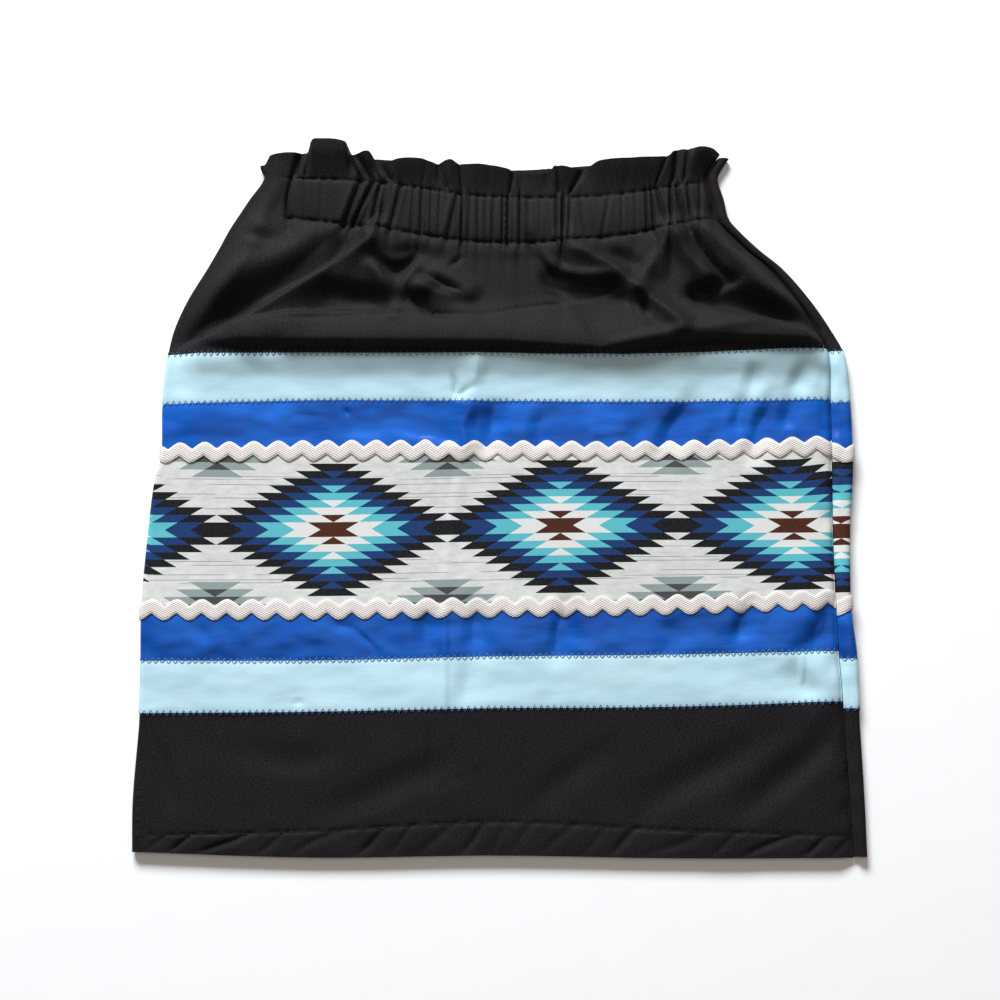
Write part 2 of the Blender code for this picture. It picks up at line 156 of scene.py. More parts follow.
# The largest folds, much as in the frame: a soft ridge, or a trough where the height is
# negative, along a line of a few points, with one width above the line and one below it
FOLDS = [
    # height, width_above, width_below, line
    (9, 26, 5.5, ((-158, 120), (-130, 120), (4, 119), (76, 114), (120, 120), (168, 124), (236, 121))),
    (-8, 18, 4, ((-107, 198), (-145, 172), (-198, 140), (-246, 115))),
    (5.5, 3.5, 25, ((-99, 206), (-117, 186), (-154, 160), (-194, 137))),
    (8, 22, 22, ((-222, 172), (-196, 204))),
    (5.5, 11, 11, ((-102, 203), (-92, 174), (-80, 148))),
    (-4.5, 10, 9, ((-128, 158), (-96, 152), (-76, 150))),
    (-6, 9, 9, ((-97, 187), (-81, 178), (-64, 188))),
    (5, 10, 8, ((-66, 160), (-46, 170), (-24, 158))),
    (4.5, 12, 11, ((51, 197), (78, 181), (101, 162))),
    (4.5, 12, 11, ((127, 204), (118, 181), (101, 162))),
    (-7.5, 12, 7, ((40, 166), (66, 158), (90, 154))),
    (6, 11, 10, ((133, 207), (145, 188), (155, 170))),
    (7, 13, 12, ((154, 208), (186, 172), (204, 157), (234, 142))),
    (-9, 14, 6, ((152, 152), (196, 143), (240, 131))),
    (5, 9, 9, ((108, 158), (122, 143), (136, 132))),
]

# Finer creases of the front. Each has the width of its left and right side as seen along the
# line, how crisp its edge is from 0 to 1, and points with x, y and the height there
CREASES = [
    # the left bulge, its dip, and the groove where it covers the end of the casing
    (12, 14, 0, ((-229, 161, 0), (-215, 168, 2.5), (-190, 176, 3.5), (-165, 187, 3.5),
                 (-148, 197, 2.5), (-124, 210, 0))),
    (7, 5, 0, ((-204, 208, 0), (-187, 202, -2.5), (-170, 198, 0))),
    (9, 9, 0, ((-192, 204, 0), (-184, 226, 3), (-172, 252, 2))),
    (2.2, 2.2, 0.55, ((-156, 264, -2), (-162, 242, -3.2), (-164, 224, -3), (-161, 206, -1))),
    # the long facet below the dark valley
    (2.8, 11, 0.9, ((-199, 136, 0), (-183, 150, 2.5), (-169, 157, 3), (-145, 168, 3.5),
                    (-132, 177, 3.5), (-118, 188, 3.5), (-107, 199, 3), (-99, 213, 1))),
    (17, 3, 0.5, ((-197, 136, -0.5), (-164, 142, -3.5), (-130, 145, -5), (-96, 144, -4.5),
                  (-78, 141, -1.5))),
    (4, 7, 0.85, ((-103, 207, 1.5), (-97, 187, 2.5), (-88, 164, 2.5), (-79, 147, 0.5))),
    # a pouch under the casing, and the ridge and arch right of it
    (4, 4, 0.55, ((-99, 190, 0), (-91, 180, -2), (-81, 173, -3), (-71, 178, -2), (-62, 190, 0))),
    (5, 3, 0.35, ((-95, 197, 0), (-88, 187, 2), (-80, 183, 3), (-69, 188, 2), (-63, 197, 0))),
    (5, 5, 0.55, ((-58, 197, 1), (-63, 180, 2.5), (-71, 166, 3), (-73, 155, 2), (-67, 145, 0))),
    (5, 2.5, 0.75, ((-64, 172, -1), (-51, 168, -3), (-39, 162, -3.5), (-26, 157, 0))),
    (4, 5, 0.35, ((-64, 162, 1), (-52, 158, 2), (-39, 154, 1.5), (-28, 153, 0))),
    (8, 3, 0.5, ((-70, 160, -2), (-63, 148, -5), (-50, 140, -5), (-33, 136, -1))),
    (3, 3, 0.45, ((-41, 176, 0), (-34, 181, -2), (-27, 187, 0))),
    # the pressed crease across the garment, and the valley at the big ridge's left end
    (2.2, 2.2, 0.45, ((-182, 135, 0), (-147, 136, -0.8), (-96, 139, -0.8), (-61, 141, -0.8),
                      (-15, 139, -0.7), (14, 144, -0.7), (43, 148, -0.7), (58, 151, -0.6),
                      (90, 161, 0))),
    (14, 4.5, 0.2, ((-228, 120, 0), (-213, 120, 2.6), (-198, 120, 4), (-184, 120, 4.2),
                    (-173, 120, 2), (-164, 120, 0))),
    (12, 4, 0.45, ((-258, 112, -1), (-243, 118, -5), (-224, 128, -6), (-204, 143, -3), (-180, 157, 0))),
    # two ridges that meet in an X, with hollows between them
    (5, 5, 0.75, ((49, 194, 0), (68, 187, 2), (86, 177, 2.5), (101, 162, 2), (109, 155, 3),
                  (124, 143, 3.2), (138, 130, 0))),
    (5, 5, 0.65, ((131, 205, 0), (121, 190, 1.5), (110, 173, 2), (102, 162, 1.5), (103, 145, 2),
                  (112, 127, 0))),
    (8, 6, 0.35, ((68, 188, 0), (86, 187, -3), (101, 179, -4), (101, 167, -3))),
    (5, 4, 0.35, ((109, 181, -1.5), (121, 196, 0))),
    (10, 3.5, 0.65, ((38, 156, -2), (51, 154, -4.5), (68, 156, -4.5), (84, 162, -3), (94, 164, 0))),
    (5, 5, 0.25, ((28, 190, 0), (45, 176, 2.5), (66, 171, 2.5), (88, 172, 1.5))),
    (4, 4, 0.45, ((23, 201, -1), (28, 187, -3), (38, 173, -2.5), (43, 157, -1))),
    (3, 2, 0.65, ((103, 157, -1.5), (109, 145, -2.2), (111, 136, 0))),
    (4, 5, 0.45, ((53, 147, 0), (66, 133, -1.5), (75, 115, -1))),
    (5, 6, 0.35, ((75, 112, 0), (101, 119, 2), (132, 125, 2.5), (159, 128, 2), (188, 133, 1),
                  (207, 138, 0))),
    # the long ridges and valleys towards the seam
    (5, 6, 0.55, ((133, 206, 0), (140, 190, 1.5), (150, 177, 1.5), (155, 171, 1), (151, 161, 0))),
    (4, 5, 0.6, ((146, 206, -3), (155, 190, -4.5), (166, 176, -4.5), (178, 166, -2))),
    (7, 6, 0.45, ((154, 214, 0), (166, 198, 1.5), (179, 185, 2), (190, 171, 2), (204, 157, 1.5),
                  (221, 147, 0))),
    (8, 4, 0.55, ((134, 153, 0), (151, 155, -3), (169, 163, -4), (179, 167, -2))),
    (12, 6, 0.35, ((155, 150, -1), (178, 145, -3), (201, 141, -4), (227, 135, -5), (246, 126, -3))),
    (6, 6, 0.45, ((109, 157, 0), (120, 157, 1.5), (128, 147, 1.5), (137, 131, 1))),
    (4, 5, 0.45, ((176, 198, -1), (183, 190, -3), (191, 190, 0))),
]

# Soft troughs and ridges of the front below the ribbons' upper edge, in the same form
TRIM_CREASES = [
    # the pale upper ribbon
    (7, 12, 0.7, ((-17, 110, 1), (-18, 97, 1.9), (-20, 86, 1), (-20, 76, 0))),
    (3.5, 3.5, 0.3, ((-37, 98, 0), (-34, 88, -1.3), (-32, 79, -1.5), (-20, 85, -0.5))),
    (9, 7, 0.2, ((192, 105, 0), (191, 92, -1.8), (188, 78, -0.5))),
    (9, 7, 0.2, ((233, 107, 0), (226, 92, -1.8), (218, 77, -0.5))),
    # the royal upper ribbon
    (9, 12, 0.7, ((-19, 74, 1), (-28, 57, 2.6), (-26, 43, 1.8), (-30, 28, 0))),
    (8, 4.5, 0.2, ((-84, 53, 0), (-67, 50, -0.9), (-50, 48, -1), (-37, 44, -0.6))),
    (3, 3, 0.2, ((-164, 62, 0), (-145, 63, -0.7), (-124, 62, 0))),
    (2.5, 2.5, 0.3, ((-119, 71, 0), (-116, 66, -1.2), (-111, 66, 0))),
    (2.5, 3, 0.2, ((-108, 68, 0), (-98, 69, -0.8), (-88, 70, 0))),
    (10, 7, 0.2, ((-1, 76, 0), (-5, 60, -2), (-9, 40, -1.2))),
    (12, 9, 0.2, ((42, 71, 0), (30, 54, -2.2), (34, 38, 0))),
    (4, 4, 0.3, ((67, 43, 0), (73, 49, 0.8), (94, 51, 0.8), (101, 43, 0))),
    (15, 8, 0.3, ((142, 72, -1), (132, 56, -2.8), (121, 36, -1.4))),
    (9, 6, 0.2, ((182, 72, -0.8), (179, 60, -1.8), (176, 50, 0))),
    (14, 8, 0.3, ((203, 73, -1), (198, 58, -2.8), (189, 36, -1.4))),
    (8, 8, 0.2, ((222, 72, -0.8), (216, 60, -1.8), (214, 48, 0))),
    # one soft line down the middle of the print
    (6, 5, 0.2, ((-28, 30, 0), (-33, 0, 0.5), (-38, -40, 0.5), (-41, -80, 0))),
    # the royal lower ribbon
    (7, 7, 0.1, ((-230, -92, 0), (-222, -102, -0.7), (-214, -110, 0))),
    (2.5, 4, 0.5, ((-130, -90, 0), (-120, -95, -0.7), (-108, -98, -0.6), (-98, -107, -1.1),
                   (-87, -115, 0))),
    (9, 9, 0.1, ((-56, -82, 0), (-55, -98, -1.5), (-54, -115, 0))),
    (14, 10, 0.3, ((-21, -82, -1), (-18, -100, -2.4), (-22, -117, -1))),
    (14, 7, 0.3, ((48, -82, -1), (45, -98, -2.6), (41, -116, -0.8))),
    (10, 7, 0.3, ((184, -78, -1), (180, -95, -2.4), (173, -113, 0))),
    (14, 10, 0.1, ((214, -84, 0), (210, -98, 1), (204, -114, 0))),
    (9, 10, 0.2, ((249, -80, -1), (240, -96, -2.8), (230, -114, -0.5))),
    # the pale lower ribbon
    (3, 4, 0.6, ((-41, -84, 0.5), (-41, -118, 0.7), (-41, -150, 0.6), (-42, -176, 0))),
    (13, 9, 0.2, ((-24, -119, 0), (-24, -136, -1.6), (-27, -155, 0))),
    (2, 2, 0.2, ((-155, -153, 0), (-149, -152, -0.8), (-143, -152, 0))),
    (2, 3, 0.5, ((224, -118, 0.3), (224, -132, 0.7), (223, -140, 0))),
    (10, 13, 0.1, ((212, -121, 0), (224, -138, -2), (236, -155, 0))),
    # the black cloth above the hem
    (10, 14, 0.2, ((259, -162, -1), (232, -190, -2.4), (196, -219, -2.4), (166, -240, 0))),
    (12, 15, 0.2, ((215, -162, 0), (170, -193, -2), (128, -215, -2), (91, -240, 0))),
    (8, 8, 0.2, ((-254, -172, 0), (-247, -205, -1.8), (-238, -236, 0))),
    (4, 6, 0.4, ((-269, -160, -0.8), (-258, -176, -1.5), (-250, -196, 0))),
    (13, 12, 0.1, ((-152, -236, 0), (-100, -222, -1.7), (-62, -205, -1.5), (-20, -190, 0))),
    (12, 10, 0.1, ((-215, -180, 0), (-150, -196, -1.2), (-110, -180, 0))),
    (2.5, 3, 0.5, ((-52, -160, 0), (-51, -190, -0.8), (-50, -224, 0))),
    (2.5, 2, 0.5, ((-50, -218, 0), (-32, -208, -0.7), (-4, -200, 0))),
    (10, 12, 0.1, ((10, -238, 0), (50, -205, -1.3), (95, -176, 0))),
]

# Creases of the front's casing: x at its head and foot, depth, half width, and how far the
# crease goes on below the foot
CASING_CREASES = [
    # head    foot    depth  width  reach
    (-150, -150, 0.6, 1.6, 5),
    (-136, -138, 0.5, 1.5, 9),
    (-107, -119, 3, 2.2, 12),
    (-97, -113, 2.6, 1.7, 18),
    (-91, -99, 2.2, 1.6, 12),
    (-88, -92, 2.2, 1.6, 14),
    (-76, -84, 2.4, 1.6, 6),
    (-66, -68, 0.9, 1.2, 9),
    (-60, -61, 1.4, 1.1, 6),
    (-53, -53, 0.9, 1, 14),
    (-46, -47, 0.8, 1, 5),
    (-32, -40, 2.2, 2, 8),
    (-29.5, -29.5, 2.4, 1, 6),
    (-23, -24, 0.9, 1.1, 16),
    (-17, -17, 1.2, 1.1, 24),
    (-11, -11, 0.8, 1, 9),
    (-5, -6, 1.2, 1.1, 12),
    (2, 1.5, 1.8, 1, 7),
    (6, 5.5, 2, 1, 10),
    (15, 15, 2, 1.2, 16),
    (22, 22, 0.7, 1.3, 34),
    (31, 30, 0.4, 1.2, 5),
    (43, 43, 1.2, 1.1, 8),
    (48.5, 47.5, 3.2, 1.2, 18),
    (55, 52, 0.7, 1.6, 14),
    (62, 66, 0.6, 1.6, 7),
    (84, 78, 0.7, 1.6, 6),
    (94, 93, 0.7, 1.2, 6),
    (104, 104, 0.6, 1.2, 9),
    (112, 112.5, 1.6, 1.1, 12),
    (116, 118, 1.8, 1.2, 22),
    (120, 128, 2, 1.5, 6),
    (131, 130.5, 3, 1.3, 20),
    (135, 142, 2.4, 1.7, 24),
    (144, 146, 1.8, 1.3, 9),
    (154, 153, 1.8, 1.5, 26),
    (160, 163, 2.6, 1.5, 8),
    (170, 169, 1.8, 1.4, 12),
]

# Creases of the front's header: x where it leaves the casing and at its edge, depth and width
RUFFLE_CREASES = [
    # foot    edge    depth  width
    (-158, -152, 3.5, 2.2),
    (-150, -148, 2.4, 1.3),
    (-106, -116, 3.6, 1.6),
    (-97, -112, 3.4, 2.6),
    (-91, -97, 1.6, 1.2),
    (-82, -92, 3, 2.4),
    (-60, -56, 0.6, 1.8),
    (-40, -48, 3.2, 2.4),
    (-30, -31, 2, 1),
    (-9, -8, 0.5, 1.6),
    (7, 10, 2, 1.4),
    (16, 14, 1.6, 1.2),
    (46, 44, 2.4, 1.8),
    (52, 64, 2.6, 2.2),
    (96, 100, 0.5, 2.4),
    (118, 128, 1.6, 1.6),
    (132, 137, 3.4, 2),
    (141, 145, 2.8, 1.8),
    (156, 149, 2, 1.6),
    (168, 176, 3.6, 2.8),
]

# The header's upper edge on the front: x, y, and how far it stands up off the smooth cloth
FLAPS = [
    # x       top     lift
    (-186, 256, 0),
    (-181, 264, 0),
    (-174, 267.5, 1),
    (-151, 268, -2),
    (-147, 269, -1),
    (-144, 275.5, 3.5),
    (-140, 277, 4),
    (-119, 274.5, 3.5),
    (-115, 268, -2.5),
    (-109, 266.5, 1),
    (-101, 267.5, 2),
    (-97, 263, -1.5),
    (-91, 259, -1.5),
    (-77, 262, 2),
    (-61, 262, 2),
    (-51, 259.5, 0),
    (-47, 260, -3),
    (-38, 261.5, 1.5),
    (-32, 258.5, 0),
    (-15, 258, 1.5),
    (6, 254.5, 1),
    (12, 251.5, -1.5),
    (31, 251, 0),
    (39, 253, -1),
    (42, 257, 2.5),
    (65, 255.5, -1.5),
    (77, 261, 1.5),
    (107, 263, 2.5),
    (129, 264.5, 1),
    (135, 270, -2.5),
    (143, 270, -1),
    (152, 271, 2),
    (163, 271, 3),
    (172, 267.5, -1),
    (178, 264.5, -1),
]

# Depth of the creases that run up the back to its gathers
BACK_GATHER_DEPTH = [
    # row     depth
    (-263, 0),
    (40, 0),
    (110, 0.3),
    (160, 1.2),
    (197.5, 2.4),
    (256, 2),
]

# Heights of three lines of the print on the front: the feet, hearts and tips of its diamonds
PRINT_LINES = [
    # x       feet    hearts  tips
    (-262, -74, -23.8, 28),
    (-124.6, -73.2, -23.4, 26.3),
    (45, -70.8, -20.4, 28.8),
    (219.4, -68.5, -20.4, 29.5),
    (250, -67.5, -20, 33),
]
# Where the print's columns lie on the front: x, and distance round the printed cloth
PRINT_ACROSS = [
    # x       round
    (-264, 517.4),
    (-212, 465.8),
    (-124.6, 378.9),
    (-39.4, 292.1),
    (45, 205.2),
    (132.4, 118.4),
    (219.4, 31.5),
    (250.9, 0),
]
PRINT_ROUND = 1079.5
# Steps of the print from its hearts to its tips, and the height of one step on the back
PRINT_STEPS = 9.0
PRINT_STEP_HEIGHT = 5.6
# The print slants towards the seam: where that starts, over what width, how much, and about what
SLANT_START = 100.0
SLANT_WIDTH = 120.0
SLANT = 0.065
HEARTS_Y = -20.0

BRAID_HALF = 5.1
BRAID_SWING = 2.6


def read_table(table, key, field):
    """Smoothly read one field of a table at values of its first column."""
    keys = np.array([entry[0] for entry in table], float)
    values = np.array([entry[field] for entry in table], float)
    key = np.clip(key, keys[0], keys[-1])
    i = np.clip(np.searchsorted(keys, key, side="right") - 1, 0, len(keys) - 2)
    slopes = np.diff(values) / np.diff(keys)
    inner = (values[2:] - values[:-2]) / (keys[2:] - keys[:-2])
    knots = np.concatenate(([slopes[0]], inner, [slopes[-1]]))
    span = keys[i + 1] - keys[i]
    t = (key - keys[i]) / span
    rise = values[i + 1] - values[i]
    a = knots[i] * span - rise
    b = rise - knots[i + 1] * span
    return values[i] + rise * t + t * (1 - t) * (a * (1 - t) + b * t)


def ease(t):
    t = np.clip(t, 0.0, 1.0)
    return t * t * (3 - 2 * t)


def between_lines(row, heights):
    """Read heights, one for each line, at a row that lies between two lines."""
    rows = np.array([entry[0] for entry in LINES])
    i = np.clip(np.searchsorted(rows, row, side="right") - 1, 0, len(rows) - 2)
    low = np.take_along_axis(heights, i[None], 0)[0]
    high = np.take_along_axis(heights, i[None] + 1, 0)[0]
    return low + (high - low) * (row - rows[i]) / (rows[i + 1] - rows[i])


def line_height(row, across):
    """Y of a row on the front, from the left fold (0) to the seam (1)."""
    quarters = (0.0, 0.25, 0.5, 0.75, 1.0)
    heights = np.stack([read_table(list(zip(quarters, entry[1:6])), across, 1) for entry in LINES])
    return between_lines(row, heights)


def strip_height(row):
    heights = np.stack([np.full(row.shape, entry[6]) for entry in LINES])
    return between_lines(row, heights)


def back_middle(row):
    return np.interp(row, [entry[0] for entry in BACK_RISE], [entry[1] for entry in BACK_RISE])


def crease_height(x, y, points, left, right, crisp):
    """A ridge or trough along a line of points with x, y and height, one width to a side.

    `side` is the sine of the turn from the line: 1 on its left, -1 on its right, and values
    between them round its ends.
    """
    best = np.full(x.shape, np.inf)
    side = np.zeros(x.shape)
    height = np.zeros(x.shape)
    for a, b in zip(points, points[1:]):
        run = b - a
        length = np.hypot(run[0], run[1])
        held = np.clip(((x - a[0]) * run[0] + (y - a[1]) * run[1]) / length ** 2, 0.0, 1.0)
        off_x = x - a[0] - held * run[0]
        off_y = y - a[1] - held * run[1]
        far = np.hypot(off_x, off_y)
        turn = (run[0] * off_y - run[1] * off_x) / (length * np.maximum(far, 0.001))
        closer = far < best
        side = np.where(closer, turn, side)
        height = np.where(closer, a[2] + held * run[2], height)
        best = np.minimum(best, far)
    reach = np.clip(best / (1.6 * (right + (left - right) * (1 + side) / 2)), 0.0, 1.0)
    return height * ((1 - crisp) * (1 - reach * reach) ** 3 + crisp * (1 - reach) ** 1.8)


def relief(x, y, folds):
    """Height of the large folds, whose lines are given from left to right or back."""
    total = np.zeros(x.shape)
    for height, above, below, line in folds:
        points = np.array([(a, b, height) for a, b in line], float)
        leftward = line[0][0] > line[-1][0]
        left, right = (below, above) if leftward else (above, below)
        total += crease_height(x, y, points, left, right, 0.0)
    return total


def soft_waves(x, y):
    long_wave = np.sin(x / 41.0 + 0.6 * np.sin(y / 53.0)) * np.cos(y / 67.0 + x / 150.0)
    return 0.9 * long_wave + 0.35 * np.sin(x / 19.0 + y / 37.0)


def chance(number, salt):
    """An even spread of values from 0 to 1, the same on each run."""
    spread = np.sin(number * 12.9898 + salt * 78.233) * 43758.5453
    return spread - np.floor(spread)


def back_gathers(column, row):
    """Creases of the back, which go inwards, because the back rests on the surface."""
    depth = read_table(BACK_GATHER_DEPTH, row, 1)
    shifted = column + 0.3 * np.sin(column * 1.7) + 0.2 * np.sin(column * 4.1)
    nearest = np.round(shifted)
    uneven = 0.25 + 0.75 * chance(nearest, 3)
    lean = 0.12 * np.sin(nearest * 2.3) * (row - CASING_FOOT) / 20.0
    crease = np.exp(-((shifted - nearest - lean) / (0.12 + 0.1 * chance(nearest, 8))) ** 2)
    return 0.8 * depth * uneven * crease


def smooth_line(line, parts=4):
    """A line through the same points, with the corners rounded."""
    points = np.array(line, float)
    padded = np.concatenate([points[:1], points, points[-1:]])
    smooth = []
    for a, b, c, d in zip(padded, padded[1:], padded[2:], padded[3:]):
        for t in np.arange(parts) / parts:
            bend = (2 * a - 5 * b + 4 * c - d) * t * t + (3 * b - a - 3 * c + d) * t * t * t
            smooth.append(b + 0.5 * ((c - a) * t + bend))
    return smooth + [points[-1]]


def crease_relief(x, y, creases, boost):
    """Height of the fine creases: only places near a crease are worked out."""
    total = np.zeros(x.shape)
    for left, right, crisp, line in creases:
        widest = 1.6 * max(left, right)
        points = np.array(smooth_line(line))
        near = (x > points[:, 0].min() - widest) & (x < points[:, 0].max() + widest)
        near &= (y > points[:, 1].min() - widest) & (y < points[:, 1].max() + widest)
        total[near] += boost * crease_height(x[near], y[near], points, left, right, crisp)
    return total


def casing_creases(x, row):
    """Gathers of the front's casing, which die out below its foot and above its head."""
    part = (row - CASING_FOOT) / (CASING_HEAD - CASING_FOOT)
    below = np.clip(CASING_FOOT - row, 0.0, None)
    above = np.clip(row - CASING_HEAD, 0.0, None)
    total = np.zeros(x.shape)
    for head, foot, depth, width, reach in CASING_CREASES:
        line = foot + (head - foot) * np.clip(part, -1.5, 1.0)
        spread = width * (1.0 + below / 14.0)
        fade = np.exp(-below / (1.5 * reach)) * np.exp(-above / 3.0)
        total -= depth * fade * np.exp(-((x - line) / spread) ** 2)
        total += 0.3 * depth * fade * np.exp(-((np.abs(x - line) - 2.2 * spread) / spread) ** 2)
    return total


def ruffle_part(row):
    return np.clip((row - CASING_HEAD) / (RUFFLE_TOP - CASING_HEAD), 0.0, 1.0)


def ruffle_creases(x, row):
    part = ruffle_part(row)
    total = np.zeros(x.shape)
    for foot, edge, depth, width in RUFFLE_CREASES:
        line = foot + (edge - foot) * part
        open_width = width * (0.6 + 0.9 * part)
        total -= depth * ease(part * 4) * np.exp(-((x - line) / open_width) ** 2)
    return total


def foot_puffs(x, row):
    """Below each flat stretch of the casing the cloth puffs out, and tucks under the foot."""
    below = CASING_FOOT - row
    puff = np.exp(-((below - 7.0) / 5.0) ** 2) * (0.6 + 0.5 * np.sin(x / 6.1) * np.sin(x / 14.7 + 1.0))
    return 1.4 * puff


def casing_bulge(row):
    part = np.clip((row - CASING_FOOT) / (CASING_HEAD - CASING_FOOT), 0.0, 1.0)
    return 2.6 * np.sin(np.pi * part) ** 0.7


def stitch_pull(x, row):
    """The two rows of stitching pull the cloth down in a narrow line."""
    total = np.zeros(x.shape)
    for level, depth, start in ((CASING_FOOT, 1.9, 3.0), (CASING_HEAD, 1.3, 4.0)):
        pucker = 0.65 + 0.35 * np.sin(x / 1.9 + start + 2.0 * np.sin(x / 5.3))
        total -= depth * pucker * np.exp(-((row - level) / 1.5) ** 2)
    return total


def waist_relief(x, row):
    return casing_creases(x, row) + casing_bulge(row) + stitch_pull(x, row) + foot_puffs(x, row)


def flap_reach(x, edge, row):
    """How far the header's edge stands up the page beyond the smooth line."""
    return ease(ruffle_part(row)) * (read_table(FLAPS, x, 1) - edge)


def gathered_shift(column, row):
    part = ease((row - LIGHT_UPPER) / (CASING_FOOT - LIGHT_UPPER))
    part = part * ease(np.minimum(column, GATHERS - column) / 2.0)
    return part * (0.28 * np.sin(column * 1.05) + 0.2 * np.sin(column * 2.3 + 1.0))


def seam_groove(x, y):
    """The seam pulls the cloth down, and puckers it a little on both sides."""
    far = x - read_table(OUTLINE, y, 3)
    pucker = 0.5 + 0.5 * np.sin(y / 4.3 + 1.7 * np.sin(y / 17.0))
    loose = 1.0 + 0.9 * ease((LIGHT_LOWER - y) / 20.0)
    dip = -2.4 * np.exp(-(far / 3.0) ** 2) - 2.6 * np.exp(-(far / 1.5) ** 2)
    return dip - 0.9 * loose * pucker * np.exp(-((np.abs(far) - 5.0) / 4.5) ** 2)


def hem_drag(x, row):
    """Slanted wrinkles between the hem's stitching and its edge."""
    part = ease((row - HEM) / 8.0) * ease((HEM_STITCH + 3.0 - row) / 8.0)
    slant = x / 27.0 - (row - HEM) / 30.0 + 0.5 * np.sin(x / 47.0) + 0.2 * np.sin(x / 13.0)
    phase = slant - np.floor(slant)
    uneven = 0.5 + chance(np.floor(slant), 5)
    wrinkle = uneven * np.exp(-((phase - 0.5) / 0.13) ** 2)
    pucker = 0.7 + 0.5 * np.sin(x / 1.7 + 2.0 * np.sin(x / 6.1))
    return part * (0.5 - 1.5 * wrinkle) - pucker * np.exp(-((row - HEM_STITCH) / 1.8) ** 2)


def front_middle(x, y, row, left):
    """Height of the middle of the front cotton."""
    side = back_middle(row) + SIDE_HEIGHT
    radius = SIDE_HEIGHT / 2
    inward = np.minimum(x - left - radius, read_table(OUTLINE, y, 2) - COTTON / 2 - radius - x)
    covered = ease((x - CASING_COVERED) / 8.0)
    full = read_table(FRONT_RISE, y, 1) + relief(x, y, FOLDS) + soft_waves(x, y)
    full = np.maximum(full, side + 0.2)
    full = full + crease_relief(x, y, TRIM_CREASES, TRIM_BOOST) + hem_drag(x, row)
    if row.max() > ROYAL_UPPER:
        full = full + crease_relief(x, y, CREASES, CREASE_BOOST) + covered * waist_relief(x, row)
        full = full + ruffle_creases(x, row)
        full = full + ease(ruffle_part(row)) * read_table(FLAPS, x, 2)
    height = side + (full - side) * ease(inward / SIDE_EASE)
    return np.maximum(height + seam_groove(x, y) * ease(inward / 6.0), back_middle(row) + LEAST_SPACE)


def middle(column, row):
    """The middle of the cotton at places on the cloth."""
    column, row = np.broadcast_arrays(np.asarray(column, float), np.asarray(row, float))
    radius = SIDE_HEIGHT / 2
    back = back_middle(row)
    left_y = line_height(row, np.zeros(row.shape))
    seam_y = line_height(row, np.ones(row.shape))
    strip_y = strip_height(row)
    left = read_table(OUTLINE, left_y, 1) + COTTON / 2
    right = read_table(OUTLINE, strip_y, 2) - COTTON / 2

    across = 1.0 - (column + gathered_shift(column, row)) / GATHERS
    seam = read_table(OUTLINE, seam_y, 3) - SEAM_GAP / 2
    x = left + radius + (seam - left - radius) * across
    y = line_height(row, np.clip(across, 0.0, 1.0))
    edge = line_height(np.full(row.shape, RUFFLE_TOP), np.clip(across, 0.0, 1.0))
    y = y + flap_reach(x, edge, row) * ease(np.minimum(column, GATHERS - column) / 0.4)
    front = np.stack([x, y, front_middle(x, y, row, left)], -1)

    turn = np.pi * (column - LEFT_FOLD)
    x = left + radius - radius * np.sin(turn)
    left_turn = np.stack([x, left_y, back + radius + radius * np.cos(turn)], -1)

    across = np.clip((column - BACK_START) / GATHERS, 0.0, 1.0)
    x = left + radius + (right - left - 2 * radius) * across
    y = line_height(row, across) + (strip_y - seam_y) * ease((across - 0.85) / 0.15)
    inner = ease(np.minimum(across, 1 - across) / 0.06)
    behind = np.stack([x, y, back + inner * back_gathers(column, row)], -1)

    turn = np.pi * (column - RIGHT_FOLD)
    x = right - radius + radius * np.sin(turn)
    right_turn = np.stack([x, strip_y, back + radius - radius * np.cos(turn)], -1)

    seam = read_table(OUTLINE, strip_y, 3) + SEAM_GAP / 2
    x = right - radius + (seam - right + radius) * (column - STRIP_START)
    strip = np.stack([x, strip_y, front_middle(x, strip_y, row, left)], -1)

    column = column[..., None]
    place = np.where(column <= LEFT_FOLD, front, left_turn)
    place = np.where(column < BACK_START, place, behind)
    place = np.where(column <= RIGHT_FOLD, place, right_turn)
    return np.where(column < STRIP_START, place, strip)


def outward(column, row, near_column=0.04, near_row=0.5):
    """The cloth's outward direction, from four places close by."""
    before = np.clip(column - near_column, 0.0, COLUMN_END)
    after = np.clip(column + near_column, 0.0, COLUMN_END)
    round_way = middle(after, row) - middle(before, row)
    up_way = middle(column, np.clip(row + near_row, HEM, RUFFLE_TOP))
    up_way = up_way - middle(column, np.clip(row - near_row, HEM, RUFFLE_TOP))
    normal = np.cross(up_way, round_way)
    return normal / np.linalg.norm(normal, axis=-1, keepdims=True)


# Underside and top of each layer above the middle of the black cotton
PANEL = (-0.2, COTTON / 2)
CASING = (-0.7, COTTON / 2)
RUFFLE = (-0.6, COTTON / 2)
# How far a gathered piece goes under the one below it
TUCK = 1.5
# How far the panel, in wide steps there, keeps below the trims that cover it
SUNK = 1.3
LOWEST_THREAD = 0.05
ZIGZAG_THREAD = 0.55
STITCH_THREAD = 0.4
# The share of a stitch's length that is left free at each end
STITCH_GAP = 0.12
# Columns of the smooth left bulge, which hides the stitches of the casing
BULGE_COLUMNS = (24.4, BACK_START)
RIBBON_UNDER = 0.7
RIBBON_OVER = 1.5
RIBBON_EDGE = 1.05
BRAID_UNDER = 1.5
BRAID_OVER = 2.9


def column_line(front, back, fold=8, strip=6):
    """Columns for a grid: so many steps to a gather on the front, and so many on the back."""
    ends = (0, LEFT_FOLD, BACK_START, RIGHT_FOLD, STRIP_START, COLUMN_END)
    steps = (front * GATHERS, fold, back, fold, strip)
    parts = [np.linspace(a, b, n + 1)[1:] for a, b, n in zip(ends, ends[1:], steps)]
    return np.concatenate([[0.0]] + parts)


